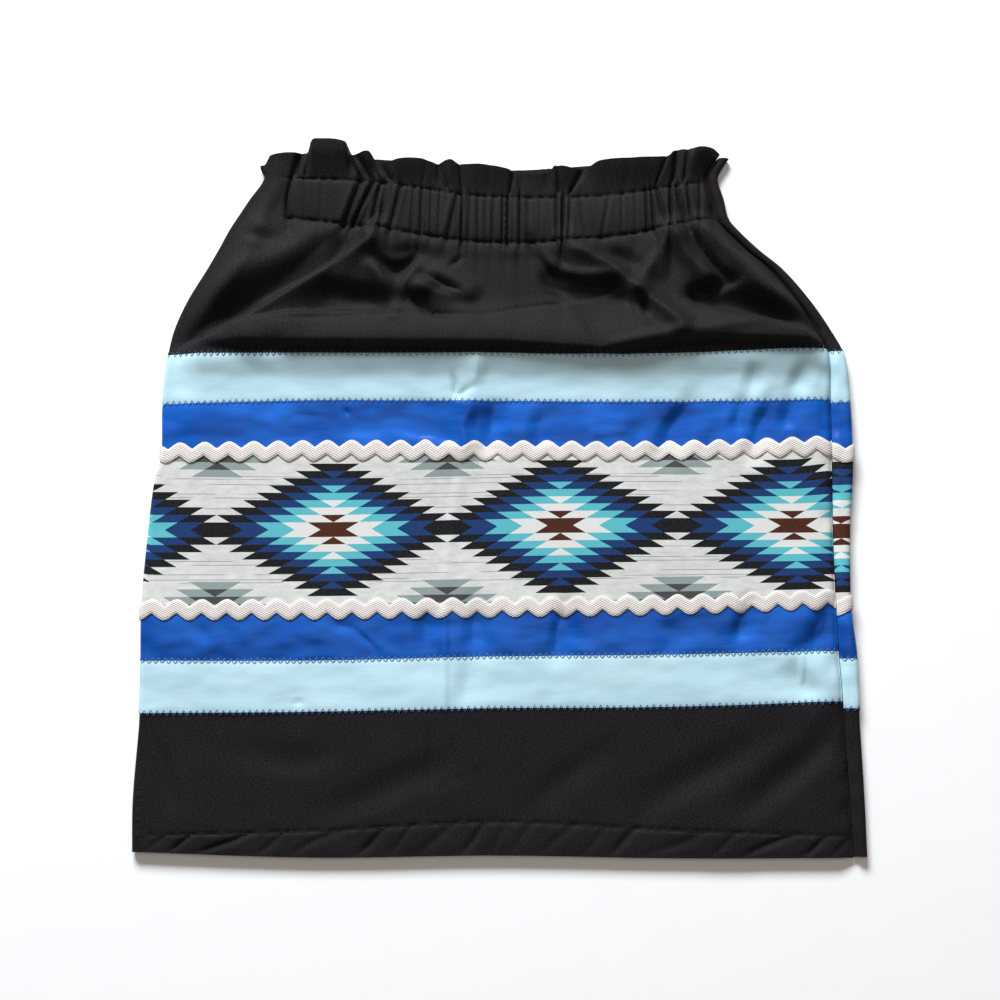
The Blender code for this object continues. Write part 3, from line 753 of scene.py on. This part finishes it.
RIBBON_COLUMNS = column_line(16, 54)


def row_line(*stretches):
    """Rows for a grid, from stretches that each give a start, an end and a count of steps."""
    parts = [np.linspace(a, b, n, endpoint=False) for a, b, n in stretches]
    return np.concatenate(parts + [[stretches[-1][1]]])


def cloth_distance(columns, row):
    """Distance round the cloth from the seam to each column, measured along one row."""
    place = middle(columns, np.full(columns.shape, row))
    steps = np.linalg.norm(np.diff(place[:, :2], axis=0), axis=1)
    turning = (columns[1:] > LEFT_FOLD) & (columns[1:] <= BACK_START)
    turning |= (columns[1:] > RIGHT_FOLD) & (columns[1:] <= STRIP_START)
    steps = np.where(turning, np.pi * SIDE_HEIGHT / 2 * np.diff(columns), steps)
    return np.concatenate([[0.0], np.cumsum(steps)])


def add_mesh(name, places, faces, look, cloth=None):
    """A smooth mesh in the frame's axes, with its place on the cloth as an attribute."""
    data = bpy.data.meshes.new(name)
    centred = (places - np.array([CENTRE_X, CENTRE_Y, 0.0])) * MM
    data.from_pydata(centred.tolist(), [], faces.tolist())
    if cloth is not None:
        marks = data.attributes.new("cloth_mm", "FLOAT_VECTOR", "POINT")
        marks.data.foreach_set("vector", cloth.astype(np.float32).ravel())
    data.materials.append(look)
    piece = bpy.data.objects.new(name, data)
    bpy.context.collection.objects.link(piece)
    bpy.ops.object.select_all(action="DESELECT")
    bpy.context.view_layer.objects.active = piece
    piece.select_set(True)
    bpy.ops.object.shade_smooth_by_angle(angle=math.radians(55.0))
    return piece


def closed_grid(outer, inner):
    """Points and faces of a wall between two grids of points, closed round its border."""
    tall, wide = outer.shape[:2]
    out = np.arange(tall * wide).reshape(tall, wide)
    back = out + tall * wide

    def quads(a, b, c, d):
        return np.stack([a.ravel(), b.ravel(), c.ravel(), d.ravel()], 1)

    faces = [
        quads(out[:-1, :-1], out[1:, :-1], out[1:, 1:], out[:-1, 1:]),
        quads(back[:-1, :-1], back[:-1, 1:], back[1:, 1:], back[1:, :-1]),
        quads(out[0, :-1], out[0, 1:], back[0, 1:], back[0, :-1]),
        quads(out[-1, 1:], out[-1, :-1], back[-1, :-1], back[-1, 1:]),
        quads(out[1:, 0], out[:-1, 0], back[:-1, 0], back[1:, 0]),
        quads(out[:-1, -1], out[1:, -1], back[1:, -1], back[:-1, -1]),
    ]
    places = np.concatenate([outer.reshape(-1, 3), inner.reshape(-1, 3)])
    return places, np.concatenate(faces)


def cloth_marks(column, row, place, distance):
    """A place on the cloth: distance round it from the seam, row, and its level on the print."""
    front = column <= LEFT_FOLD
    slant = ease((place[..., 0] - SLANT_START) / SLANT_WIDTH) * SLANT * (place[..., 1] - HEARTS_Y)
    far = place[..., 0] + slant
    ahead = read_table(PRINT_ACROSS, far, 1) - np.maximum(far - PRINT_ACROSS[-1][0], 0.0)
    fold = np.argmax(column[0] >= LEFT_FOLD)
    share = (distance - distance[0, fold]) / (distance[0, -1] - distance[0, fold])
    turned = ahead[:, [fold]] + share * (PRINT_ROUND - ahead[:, [fold]])
    round_way = np.where(front, ahead, turned)
    levels = [read_table(PRINT_LINES, place[..., 0], n) for n in (1, 2, 3)]
    upper = PRINT_STEPS * (place[..., 1] - levels[1]) / (levels[2] - levels[1])
    lower = PRINT_STEPS * (place[..., 1] - levels[1]) / (levels[1] - levels[0])
    level = np.where(upper > 0, upper, lower)
    level = np.where(front, level, (row - PRINT_MIDDLE) / PRINT_STEP_HEIGHT)
    return np.stack([round_way, row, level], -1).reshape(-1, 3)


def cloth_wall(name, columns, rows, under, over, look):
    """A wall of cloth over a grid of columns and rows, between two heights over the cotton."""
    column, row = np.meshgrid(columns, rows)
    place = middle(column, row)
    normal = outward(column, row)
    normal[:, [0, -1], 0] = 0.0
    over = np.broadcast_to(np.asarray(over), column.shape)[..., None]
    under = np.broadcast_to(np.asarray(under), column.shape)[..., None]
    distance = np.broadcast_to(cloth_distance(columns, PRINT_MIDDLE), column.shape)
    marks = cloth_marks(column, row, place, distance)
    places, faces = closed_grid(place + normal * over, place + normal * under)
    return add_mesh(name, places, faces, look, np.concatenate([marks, marks]))


def ribbon(name, low, high, look, steps=16):
    """A ribbon or band: its two stitched edges are pulled down a little."""
    rows = row_line((low, high, steps))
    edge = np.minimum(rows - low, high - rows)
    over = RIBBON_EDGE + (RIBBON_OVER - RIBBON_EDGE) * ease(edge / 3.0)
    return cloth_wall(name, RIBBON_COLUMNS, rows, RIBBON_UNDER, over[:, None], look)


def rickrack(name, trim, first_peak, wavelength, look):
    """A wavy braid: its outer bends are round, and its inner bends are sharp."""
    column = column_line(24, 24 * GATHERS, 12, 12)
    turn = np.pi * (cloth_distance(column, trim) - first_peak) / wavelength
    round_top = 2 * np.abs(np.cos(turn)) ** 0.9 - 1
    round_foot = 1 - 2 * np.abs(np.sin(turn)) ** 0.9
    wave = np.cos(2 * turn)
    high = BRAID_HALF + BRAID_SWING * (0.35 * wave + 0.65 * round_top)
    low = -BRAID_HALF + BRAID_SWING * (0.35 * wave + 0.65 * round_foot)
    across = np.linspace(-1.0, 1.0, 9)[:, None]
    up = (high + low) / 2 + across * (high - low) / 2
    grid, up = np.broadcast_arrays(column, up)
    row = trim + up
    place = middle(grid, row)
    normal = outward(grid, row)
    normal[:, [0, -1], 0] = 0.0
    crown = BRAID_UNDER + (BRAID_OVER - BRAID_UNDER) * (1.0 - 0.45 * np.abs(across) ** 6)
    crown = np.broadcast_to(crown, grid.shape)[..., None]
    round_way = np.broadcast_to(cloth_distance(column, trim), grid.shape)
    across = np.broadcast_to(across * BRAID_HALF, grid.shape)
    marks = np.stack([round_way, across, up], -1).reshape(-1, 3)
    places, faces = closed_grid(place + normal * crown, place + normal * BRAID_UNDER)
    return add_mesh(name, places, faces, look, np.concatenate([marks, marks]))


def stitch_form():
    """One stitch: a short round thread along X with tapered ends, modelled once."""
    bpy.ops.object.select_all(action="DESELECT")
    bpy.ops.mesh.primitive_uv_sphere_add(segments=6, ring_count=6, radius=1.0)
    form = bpy.context.object
    bpy.ops.object.mode_set(mode="EDIT")
    bpy.ops.mesh.select_all(action="SELECT")
    bpy.ops.transform.rotate(value=math.pi / 2, orient_axis="Y", center_override=(0.0, 0.0, 0.0))
    bpy.ops.mesh.quads_convert_to_tris()
    bpy.ops.object.mode_set(mode="OBJECT")
    points = np.array([vert.co[:] for vert in form.data.vertices])
    faces = np.array([face.vertices[:] for face in form.data.polygons])
    bpy.data.objects.remove(form, do_unlink=True)
    return points, faces


def stitch_run(name, starts, ends, thickness, look):
    """A row of stitches, each from one needle hole to the next.

    `starts` and `ends` are lists of a column, a row and a height over the cotton.
    """
    points, faces = stitch_form()
    ends_in_space = []
    for holes in (starts, ends):
        column, row, height = np.array(holes, float).T
        normal = outward(column, row)
        ends_in_space.append(middle(column, row) + normal * height[:, None])
    start, end = ends_in_space
    run = end - start
    length = np.linalg.norm(run, axis=1, keepdims=True)
    run = run / length
    side = np.cross(normal, run)
    side = side / np.linalg.norm(side, axis=1, keepdims=True)
    half = length / 2 + thickness * 0.2
    arch = thickness * (1.0 - points[:, 0] ** 2) * 0.5
    body = (start + end)[:, None] / 2 + run[:, None] * points[None, :, 0:1] * half[:, None]
    body = body + side[:, None] * points[None, :, 1:2] * thickness / 2
    body = body + normal[:, None] * (points[None, :, 2:3] * thickness / 2 + arch[None, :, None])
    body[..., 2] = np.maximum(body[..., 2], LOWEST_THREAD)
    count = len(points)
    shifts = np.arange(len(start))[:, None, None] * count
    return add_mesh(name, body.reshape(-1, 3), (faces[None] + shifts).reshape(-1, 3), look)


def all_round(step_mm):
    """Columns at even steps round the cloth, and only where the cloth can be sewn."""
    fine = column_line(16, 400, 8, 8)
    distance = cloth_distance(fine, PRINT_MIDDLE)
    count = int(distance[-1] / step_mm)
    return np.interp(np.linspace(0.8, distance[-1] - 0.8, count), distance, fine)


def zigzag(name, row, below, above, look, width=4.0, period=4.8):
    """Zigzag stitching over an edge, with the layer's height below and above the edge."""
    holes = []
    for n, column in enumerate(all_round(period / 2)):
        up = n % 2
        wobble = 0.25 * math.sin(n * 1.9) + 0.2 * math.sin(n * 0.37)
        level = row + (width / 2 if up else -width / 2) + wobble
        holes.append((column, level, above if up else below))
    return stitch_run(name, holes[:-1], holes[1:], ZIGZAG_THREAD, look)


def straight_stitches(name, row, height, look, hidden=(0.0, 0.0), length=3.0):
    """A row of straight stitches with small gaps, left out between the two hidden columns."""
    columns = all_round(length)
    shown = [(a, b) for a, b in zip(columns, columns[1:]) if not hidden[0] < a < hidden[1]]
    starts = [(a + STITCH_GAP * (b - a), row, height) for a, b in shown]
    ends = [(a + (1 - STITCH_GAP) * (b - a), row, height) for a, b in shown]
    return stitch_run(name, starts, ends, STITCH_THREAD, look)


def joined(operation, turned=False):
    """A method that puts a value, and the other one if there is one, into a Math node."""
    def method(self, *others):
        values = (*others, self) if turned else (self, *others)
        return self.look.node("ShaderNodeMath", {"operation": operation}, dict(enumerate(values)))
    return method


class Value:
    """A socket of a material's node, which Python's operators join with Math nodes."""

    def __init__(self, look, socket):
        self.look = look
        self.socket = socket

    __add__ = joined("ADD")
    __radd__ = joined("ADD", turned=True)
    __sub__ = joined("SUBTRACT")
    __rsub__ = joined("SUBTRACT", turned=True)
    __mul__ = joined("MULTIPLY")
    __rmul__ = joined("MULTIPLY", turned=True)
    __truediv__ = joined("DIVIDE")
    __mod__ = joined("FLOORED_MODULO")
    __abs__ = joined("ABSOLUTE")
    __lt__ = joined("LESS_THAN")
    __gt__ = joined("GREATER_THAN")
    floor = joined("FLOOR")
    ceil = joined("CEIL")
    sine = joined("SINE")
    at_least = joined("MAXIMUM")
    at_most = joined("MINIMUM")

    def clamp(self, low, high):
        return self.at_least(low).at_most(high)


class Look:
    """One material: its shader, and a short way to add nodes to it."""

    def __init__(self, name, roughness, specular):
        self.material = bpy.data.materials.new(name)
        self.material.use_nodes = True
        self.tree = self.material.node_tree
        self.shader = self.tree.nodes["Principled BSDF"]
        self.shader.inputs["Roughness"].default_value = roughness
        self.shader.inputs["Specular IOR Level"].default_value = specular

    def node(self, kind, settings=None, inputs=None, output=0):
        node = self.tree.nodes.new(kind)
        for setting, value in (settings or {}).items():
            setattr(node, setting, value)
        for socket, value in (inputs or {}).items():
            if isinstance(value, Value):
                self.tree.links.new(value.socket, node.inputs[socket])
            else:
                node.inputs[socket].default_value = value
        return Value(self, node.outputs[output])

    def cloth(self):
        """The place on the cloth, as a vector in millimetres."""
        settings = {"attribute_type": "GEOMETRY", "attribute_name": "cloth_mm"}
        return self.node("ShaderNodeAttribute", settings, output="Vector")

    def parts(self, vector):
        split = self.node("ShaderNodeSeparateXYZ", inputs={0: vector}).socket.node
        return [Value(self, socket) for socket in split.outputs]

    def scaled(self, vector, factors):
        return self.node("ShaderNodeVectorMath", {"operation": "MULTIPLY"}, {0: vector, 1: factors})

    def noise(self, vector, scale=1.0, detail=2.0, roughness=0.5):
        inputs = {"Vector": vector, "Scale": scale, "Detail": detail, "Roughness": roughness}
        return self.node("ShaderNodeTexNoise", inputs=inputs)

    def mix(self, factor, low, high):
        inputs = {0: factor, 6: low, 7: high}
        return self.node("ShaderNodeMix", {"data_type": "RGBA"}, inputs, output=2)

    def steps(self, factor, colours):
        """Flat bands of colour, with the value each one starts at."""
        ramp = self.node("ShaderNodeValToRGB", inputs={0: factor})
        stops = ramp.socket.node.color_ramp
        stops.interpolation = "CONSTANT"
        while len(stops.elements) < len(colours):
            stops.elements.new(1.0)
        for element, (start, colour) in zip(stops.elements, colours):
            element.position = start
            element.color = colour
        return ramp

    def bump(self, height_mm):
        """Relief whose height is in millimetres."""
        self.set("Normal", self.node("ShaderNodeBump", inputs={"Height": height_mm, "Distance": MM}))

    def set(self, socket, value):
        self.tree.links.new(value.socket, self.shader.inputs[socket])


def srgb(red, green, blue):
    """A colour given as it looks on a screen, 0 to 255, as linear light."""
    shares = [value / 255 for value in (red, green, blue)]
    linear = [s / 12.92 if s <= 0.04045 else ((s + 0.055) / 1.055) ** 2.4 for s in shares]
    return (*linear, 1.0)


def weave(look, vector, height, thread=0.45):
    """Threads one over and one under, with slubs: a height in millimetres."""
    across, up, _ = look.parts(vector)
    ribs = (across * (2 * math.pi / thread)).sine() * (up * (2 * math.pi / thread)).sine()
    slubs = look.noise(look.scaled(vector, (0.35, 2.2, 0.0)), detail=3.0) - 0.5
    slubs = slubs + look.noise(look.scaled(vector, (2.0, 0.3, 0.0)), detail=3.0) - 0.5
    return ribs * (height * 0.35) + slubs * height


def black_cotton_look():
    look = Look("black_cotton_weave", roughness=0.6, specular=0.05)
    place = look.cloth()
    cloud = look.noise(look.scaled(place, (0.04, 0.04, 0.0)), detail=3.0)
    lint = look.noise(look.scaled(place, (0.6, 1.1, 0.0)), detail=3.0, roughness=0.7)
    tone = cloud * 0.3 + (lint * 3.0 - 1.15).clamp(0.0, 0.7)
    look.set("Base Color", look.mix(tone, srgb(14, 13, 14), srgb(42, 40, 43)))
    look.bump(weave(look, place, height=0.06))
    return look.material


def satin_look(name, dark, fair, roughness, waves):
    """Satin with fine streaks along it, painted into its colour as sheen; `waves` is the height of its
    soft waves, in mm.
    """
    look = Look(name, roughness=roughness, specular=0.14)
    place = look.cloth()
    sheen_streaks = look.noise(look.scaled(place, (0.05, 2.4, 0.0)), detail=4.0, roughness=0.6)
    cloud = look.noise(look.scaled(place, (0.02, 0.05, 0.0)), detail=2.0)
    # Painted sheen: the colour's lighter and darker streaks along the threads and its broad patches
    # stand in for the satin's shifting sheen.
    mottle = (sheen_streaks * 0.35 + cloud * 0.65) * 2.2 - 0.6
    look.set("Base Color", look.mix(mottle, dark, fair))
    look.set("Roughness", sheen_streaks * 0.12 + (roughness - 0.06))
    soft = look.noise(look.scaled(place, (0.03, 0.045, 0.0)), detail=1.0)
    small = look.noise(look.scaled(place, (0.09, 0.15, 0.0)), detail=2.0)
    look.bump(sheen_streaks * 0.02 + soft * waves + small * 0.14)
    return look.material


# The printed diamonds, charted by rule: the width of a step, the middle of the first diamond and
# one repeat, all measured round the cloth, and the step at which the grey half diamonds end
STEP_ACROSS = 9.65
FIRST_DIAMOND = 31.5
REPEAT = 18 * STEP_ACROSS
GREY_RISE = 16

BROWN = srgb(72, 36, 22)
PRINT_WHITE = srgb(216, 218, 217)
TURQUOISE = srgb(88, 180, 192)
NAVY = srgb(24, 55, 106)
PRINT_BLACK = srgb(22, 22, 25)
SAGE = srgb(136, 151, 150)
DARK_GREY = srgb(68, 69, 71)
# Levels of the fine lines in the ground, above and below the hearts
GROUND_LINES = (2.8, 4.25, 4.75, 6.05, 6.75, 7.15)


def printed_cotton_look():
    """Serrated diamonds in stepped bands round brown hearts, on a mottled pale ground."""
    look = Look("printed_cotton_weave", roughness=0.8, specular=0.06)
    place = look.cloth()
    across, _, level = look.parts(place)
    rise = abs(level)

    def band(aside, level):
        return ((aside / STEP_ACROSS + level.floor() * 2 - level + 1) / 2).ceil()

    in_repeat = (across - (FIRST_DIAMOND - REPEAT / 2)) % REPEAT
    aside = abs(in_repeat - REPEAT / 2)
    diamond = band(aside, rise)
    colours = [(0.0, BROWN), (0.15, PRINT_WHITE), (0.25, TURQUOISE), (0.35, NAVY), (0.45, PRINT_BLACK)]
    ink = look.steps(diamond / 10, colours)
    inside = (diamond < 5.5) * (rise < PRINT_STEPS)

    grey_band = band(REPEAT / 2 - aside, GREY_RISE - rise)
    greys = [(0.0, SAGE), (0.35, DARK_GREY), (0.45, SAGE)]
    grey_ink = look.steps(grey_band / 10, greys)
    grey = (grey_band < 5.5) * (grey_band > 2.5) * (rise > 7.0)

    mottle = look.noise(look.scaled(place, (0.09, 0.22, 0.0)), detail=5.0, roughness=0.65)
    mottle = (mottle * 2.0 - 0.5).clamp(0.0, 1.0)
    ground = look.mix(mottle, srgb(188, 192, 192), srgb(220, 221, 219))
    lines = 0.0
    for line in GROUND_LINES:
        lines = lines + (abs(rise - line) < 0.05)
    spread = look.node("ShaderNodeCombineXYZ", inputs={0: across * 0.017, 1: level * 2.3})
    gaps = look.noise(spread, detail=1.0)
    ground = look.mix(lines * (gaps > 0.46), ground, srgb(140, 150, 148))
    colour = look.mix(grey, ground, grey_ink)
    colour = look.mix(inside, colour, ink)
    fleck = look.noise(look.scaled(place, (0.5, 0.9, 0.0)), detail=4.0, roughness=0.7)
    colour = look.mix((fleck - 0.4).clamp(0.0, 0.3) * 0.1, colour, srgb(200, 205, 210))
    look.set("Base Color", colour)
    look.bump(weave(look, place, height=0.05))
    return look.material


def braid_look():
    look = Look("white_braid_weave", roughness=0.8, specular=0.1)
    place = look.cloth()
    along, _, up = look.parts(place)
    one_way = ((along * 0.55 + up) * (2 * math.pi / 1.7)).sine()
    other_way = ((along * 0.55 - up) * (2 * math.pi / 1.7)).sine()
    rib = (one_way + other_way) * 0.25 + 0.5
    fuzz = look.noise(place, scale=0.9, detail=3.0)
    # Painted shade: the colour is darker where the rib pattern is low, in the grooves of the weave; the
    # fuzz noise adds random tone.
    tone = look.mix(rib * 0.6 + fuzz * 0.4, srgb(172, 168, 165), srgb(246, 242, 239))
    look.set("Base Color", tone)
    look.bump(rib * 0.22 + fuzz * 0.1)
    return look.material


def thread_look(name, colour):
    look = Look(name, roughness=0.5, specular=0.4)
    place = look.node("ShaderNodeTexCoord", output="Object")
    strand = look.noise(place, scale=2500.0)
    darker = tuple(value * 0.6 for value in colour[:3]) + (1.0,)
    look.set("Base Color", look.mix(strand, darker, colour))
    return look.material


def make_panel(look):
    """The panel's wall, with wide steps and sunk a little where the trims cover it."""
    rows = row_line(
        (HEM, HEM_STITCH - 4, 10),
        (HEM_STITCH - 4, HEM_STITCH + 4, 8),
        (HEM_STITCH + 4, LIGHT_LOWER, 20),
        (LIGHT_LOWER, LIGHT_LOWER + 4, 2),
        (LIGHT_LOWER + 4, LIGHT_UPPER - 4, 30),
        (LIGHT_UPPER - 4, CASING_FOOT, 66))
    covered = (rows > LIGHT_LOWER + 3.0) & (rows < LIGHT_UPPER - 3.0)
    sunk = np.where(covered, SUNK, 0.0)[:, None]
    return cloth_wall("panel_cloth", column_line(10, 54), rows, PANEL[0] - sunk, PANEL[1] - sunk, look)


def gathered_wall(name, low, high, steps, under, over, look):
    """A gathered wall, whose lowest part goes a little way under the piece below it."""
    rows = row_line((low - TUCK, low, 1), (low, high, steps))
    heights = np.where(rows < low, over - 0.15, over)
    return cloth_wall(name, column_line(18, 162), rows, under, heights[:, None], look)


def make_floor():
    bpy.ops.object.select_all(action="DESELECT")
    bpy.ops.mesh.primitive_plane_add(size=12.0, location=(0.0, 0.0, 0.0))
    floor = bpy.context.object
    floor.name = "pale_floor"
    look = Look("pale_floor", roughness=0.9, specular=0.1)
    grain = look.noise(look.node("ShaderNodeTexCoord", output="Object"), scale=30.0)
    look.set("Base Color", look.mix(grain, (0.93, 0.95, 0.98, 1.0), (0.95, 0.97, 1.0, 1.0)))
    floor.data.materials.append(look.material)


def add_light(name, place, target, size, power, colour=(1.0, 1.0, 1.0)):
    data = bpy.data.lights.new(name, "AREA")
    data.shape = "RECTANGLE"
    data.size, data.size_y = size
    data.energy = power
    data.color = colour
    light = bpy.data.objects.new(name, data)
    light.location = place
    aim = Vector(target) - Vector(place)
    light.rotation_euler = aim.to_track_quat("-Z", "Y").to_euler()
    bpy.context.collection.objects.link(light)


def light_studio():
    add_light("window", (-1.0, 3.5, 1.95), (0.0, 0.0, 0.0), (2.2, 1.1), 338.0, (0.97, 1.0, 1.03))
    add_light("overhead", (0.1, 0.0, 2.4), (0.0, 0.0, 0.0), (1.6, 1.6), 12.0, (1.0, 0.93, 0.86))
    world = bpy.data.worlds.new("pale_room")
    world.use_nodes = True
    shade = world.node_tree.nodes["Background"]
    shade.inputs["Color"].default_value = (1.0, 0.8, 0.64, 1.0)
    shade.inputs["Strength"].default_value = 0.11
    bpy.context.scene.world = world
    bpy.context.scene.view_settings.view_transform = "Standard"


CAMERA_FAR = 1.25
CAMERA_TILT = math.radians(7.0)


def place_camera():
    """Above the garment and a little towards the hem, as the photograph was taken."""
    data = bpy.data.cameras.new("camera")
    data.lens = 59.6
    data.sensor_width = 36.0
    camera = bpy.data.objects.new("camera", data)
    back = -CAMERA_FAR * math.sin(CAMERA_TILT)
    camera.location = (-CENTRE_X * MM, -CENTRE_Y * MM + back, CAMERA_FAR * math.cos(CAMERA_TILT))
    camera.rotation_euler = (CAMERA_TILT, 0.0, 0.0)
    bpy.context.collection.objects.link(camera)
    bpy.context.scene.camera = camera


cotton = black_cotton_look()
light_satin = satin_look("light_satin_face", srgb(166, 203, 217), srgb(193, 227, 239), 0.38, 1.6)
royal_satin = satin_look("royal_satin_face", srgb(6, 56, 138), srgb(30, 104, 204), 0.34, 5.0)
print_cloth = printed_cotton_look()
braid_white = braid_look()
navy_thread = thread_look("navy_thread", srgb(34, 54, 96))
blue_thread = thread_look("blue_thread", srgb(85, 130, 185))
black_thread = thread_look("black_thread", srgb(16, 15, 17))

panel = make_panel(cotton)
casing = gathered_wall("casing_cloth", CASING_FOOT, CASING_HEAD, 26, *CASING, cotton)
ruffle = gathered_wall("ruffle_cloth", CASING_HEAD, RUFFLE_TOP, 18, *RUFFLE, cotton)
light_upper = ribbon("light_ribbon_upper", ROYAL_UPPER, LIGHT_UPPER, light_satin)
royal_upper = ribbon("royal_ribbon_upper", TRIM_UPPER, ROYAL_UPPER, royal_satin)
printed_band = ribbon("printed_cloth_band", TRIM_LOWER, TRIM_UPPER, print_cloth, 56)
royal_lower = ribbon("royal_ribbon_lower", ROYAL_LOWER, TRIM_LOWER, royal_satin)
light_lower = ribbon("light_ribbon_lower", LIGHT_LOWER, ROYAL_LOWER, light_satin)
braid_upper = rickrack("braid_upper", TRIM_UPPER, 11.9, 18.4, braid_white)
braid_lower = rickrack("braid_lower", TRIM_LOWER, 6.4, 18.6, braid_white)

zigzags = [
    zigzag("zigzag_light_upper", LIGHT_UPPER, RIBBON_OVER, COTTON / 2 + 0.2, navy_thread),
    zigzag("zigzag_royal_upper", ROYAL_UPPER, RIBBON_OVER, RIBBON_OVER, blue_thread),
    zigzag("zigzag_royal_lower", ROYAL_LOWER, RIBBON_OVER, RIBBON_OVER, blue_thread),
    zigzag("zigzag_light_lower", LIGHT_LOWER, COTTON / 2 + 0.2, RIBBON_OVER, blue_thread),
]
stitches = [
    straight_stitches("hem_stitches", HEM_STITCH, COTTON / 2 + 0.1, black_thread),
    straight_stitches("casing_foot_stitches", CASING_FOOT + 0.5, COTTON / 2 + 0.1, black_thread,
                      BULGE_COLUMNS),
    straight_stitches("casing_head_stitches", CASING_HEAD - 0.5, COTTON / 2 + 0.1, black_thread,
                      BULGE_COLUMNS),
]

ROUND = cloth_distance(RIBBON_COLUMNS, PRINT_MIDDLE)[-1]
CUTS = [
    # piece, node, slot, height of its cut, held
    (panel, "body_panel", "black_cotton", 470.0, "laid"),
    (casing, "waist_casing", "black_cotton", 36.0, "gathered"),
    (ruffle, "waist_ruffle", "black_cotton", 24.0, "gathered"),
    (light_upper, "ribbon_light_upper", "light_satin", 38.0, "laid"),
    (royal_upper, "ribbon_royal_upper", "royal_satin", 38.0, "laid"),
    (printed_band, "print_band", "printed_cotton", 118.0, "laid"),
    (royal_lower, "ribbon_royal_lower", "royal_satin", 38.0, "laid"),
    (light_lower, "ribbon_light_lower", "light_satin", 38.0, "laid"),
]
for piece, node, slot, height, held in CUTS:
    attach(piece, "root")
    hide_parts(node)
for piece, node in ((braid_upper, "rickrack_upper"), (braid_lower, "rickrack_lower")):
    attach(piece, "root")
    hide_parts(node)
for piece in zigzags + stitches:
    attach(piece, "root")

make_floor()
light_studio()
place_camera()
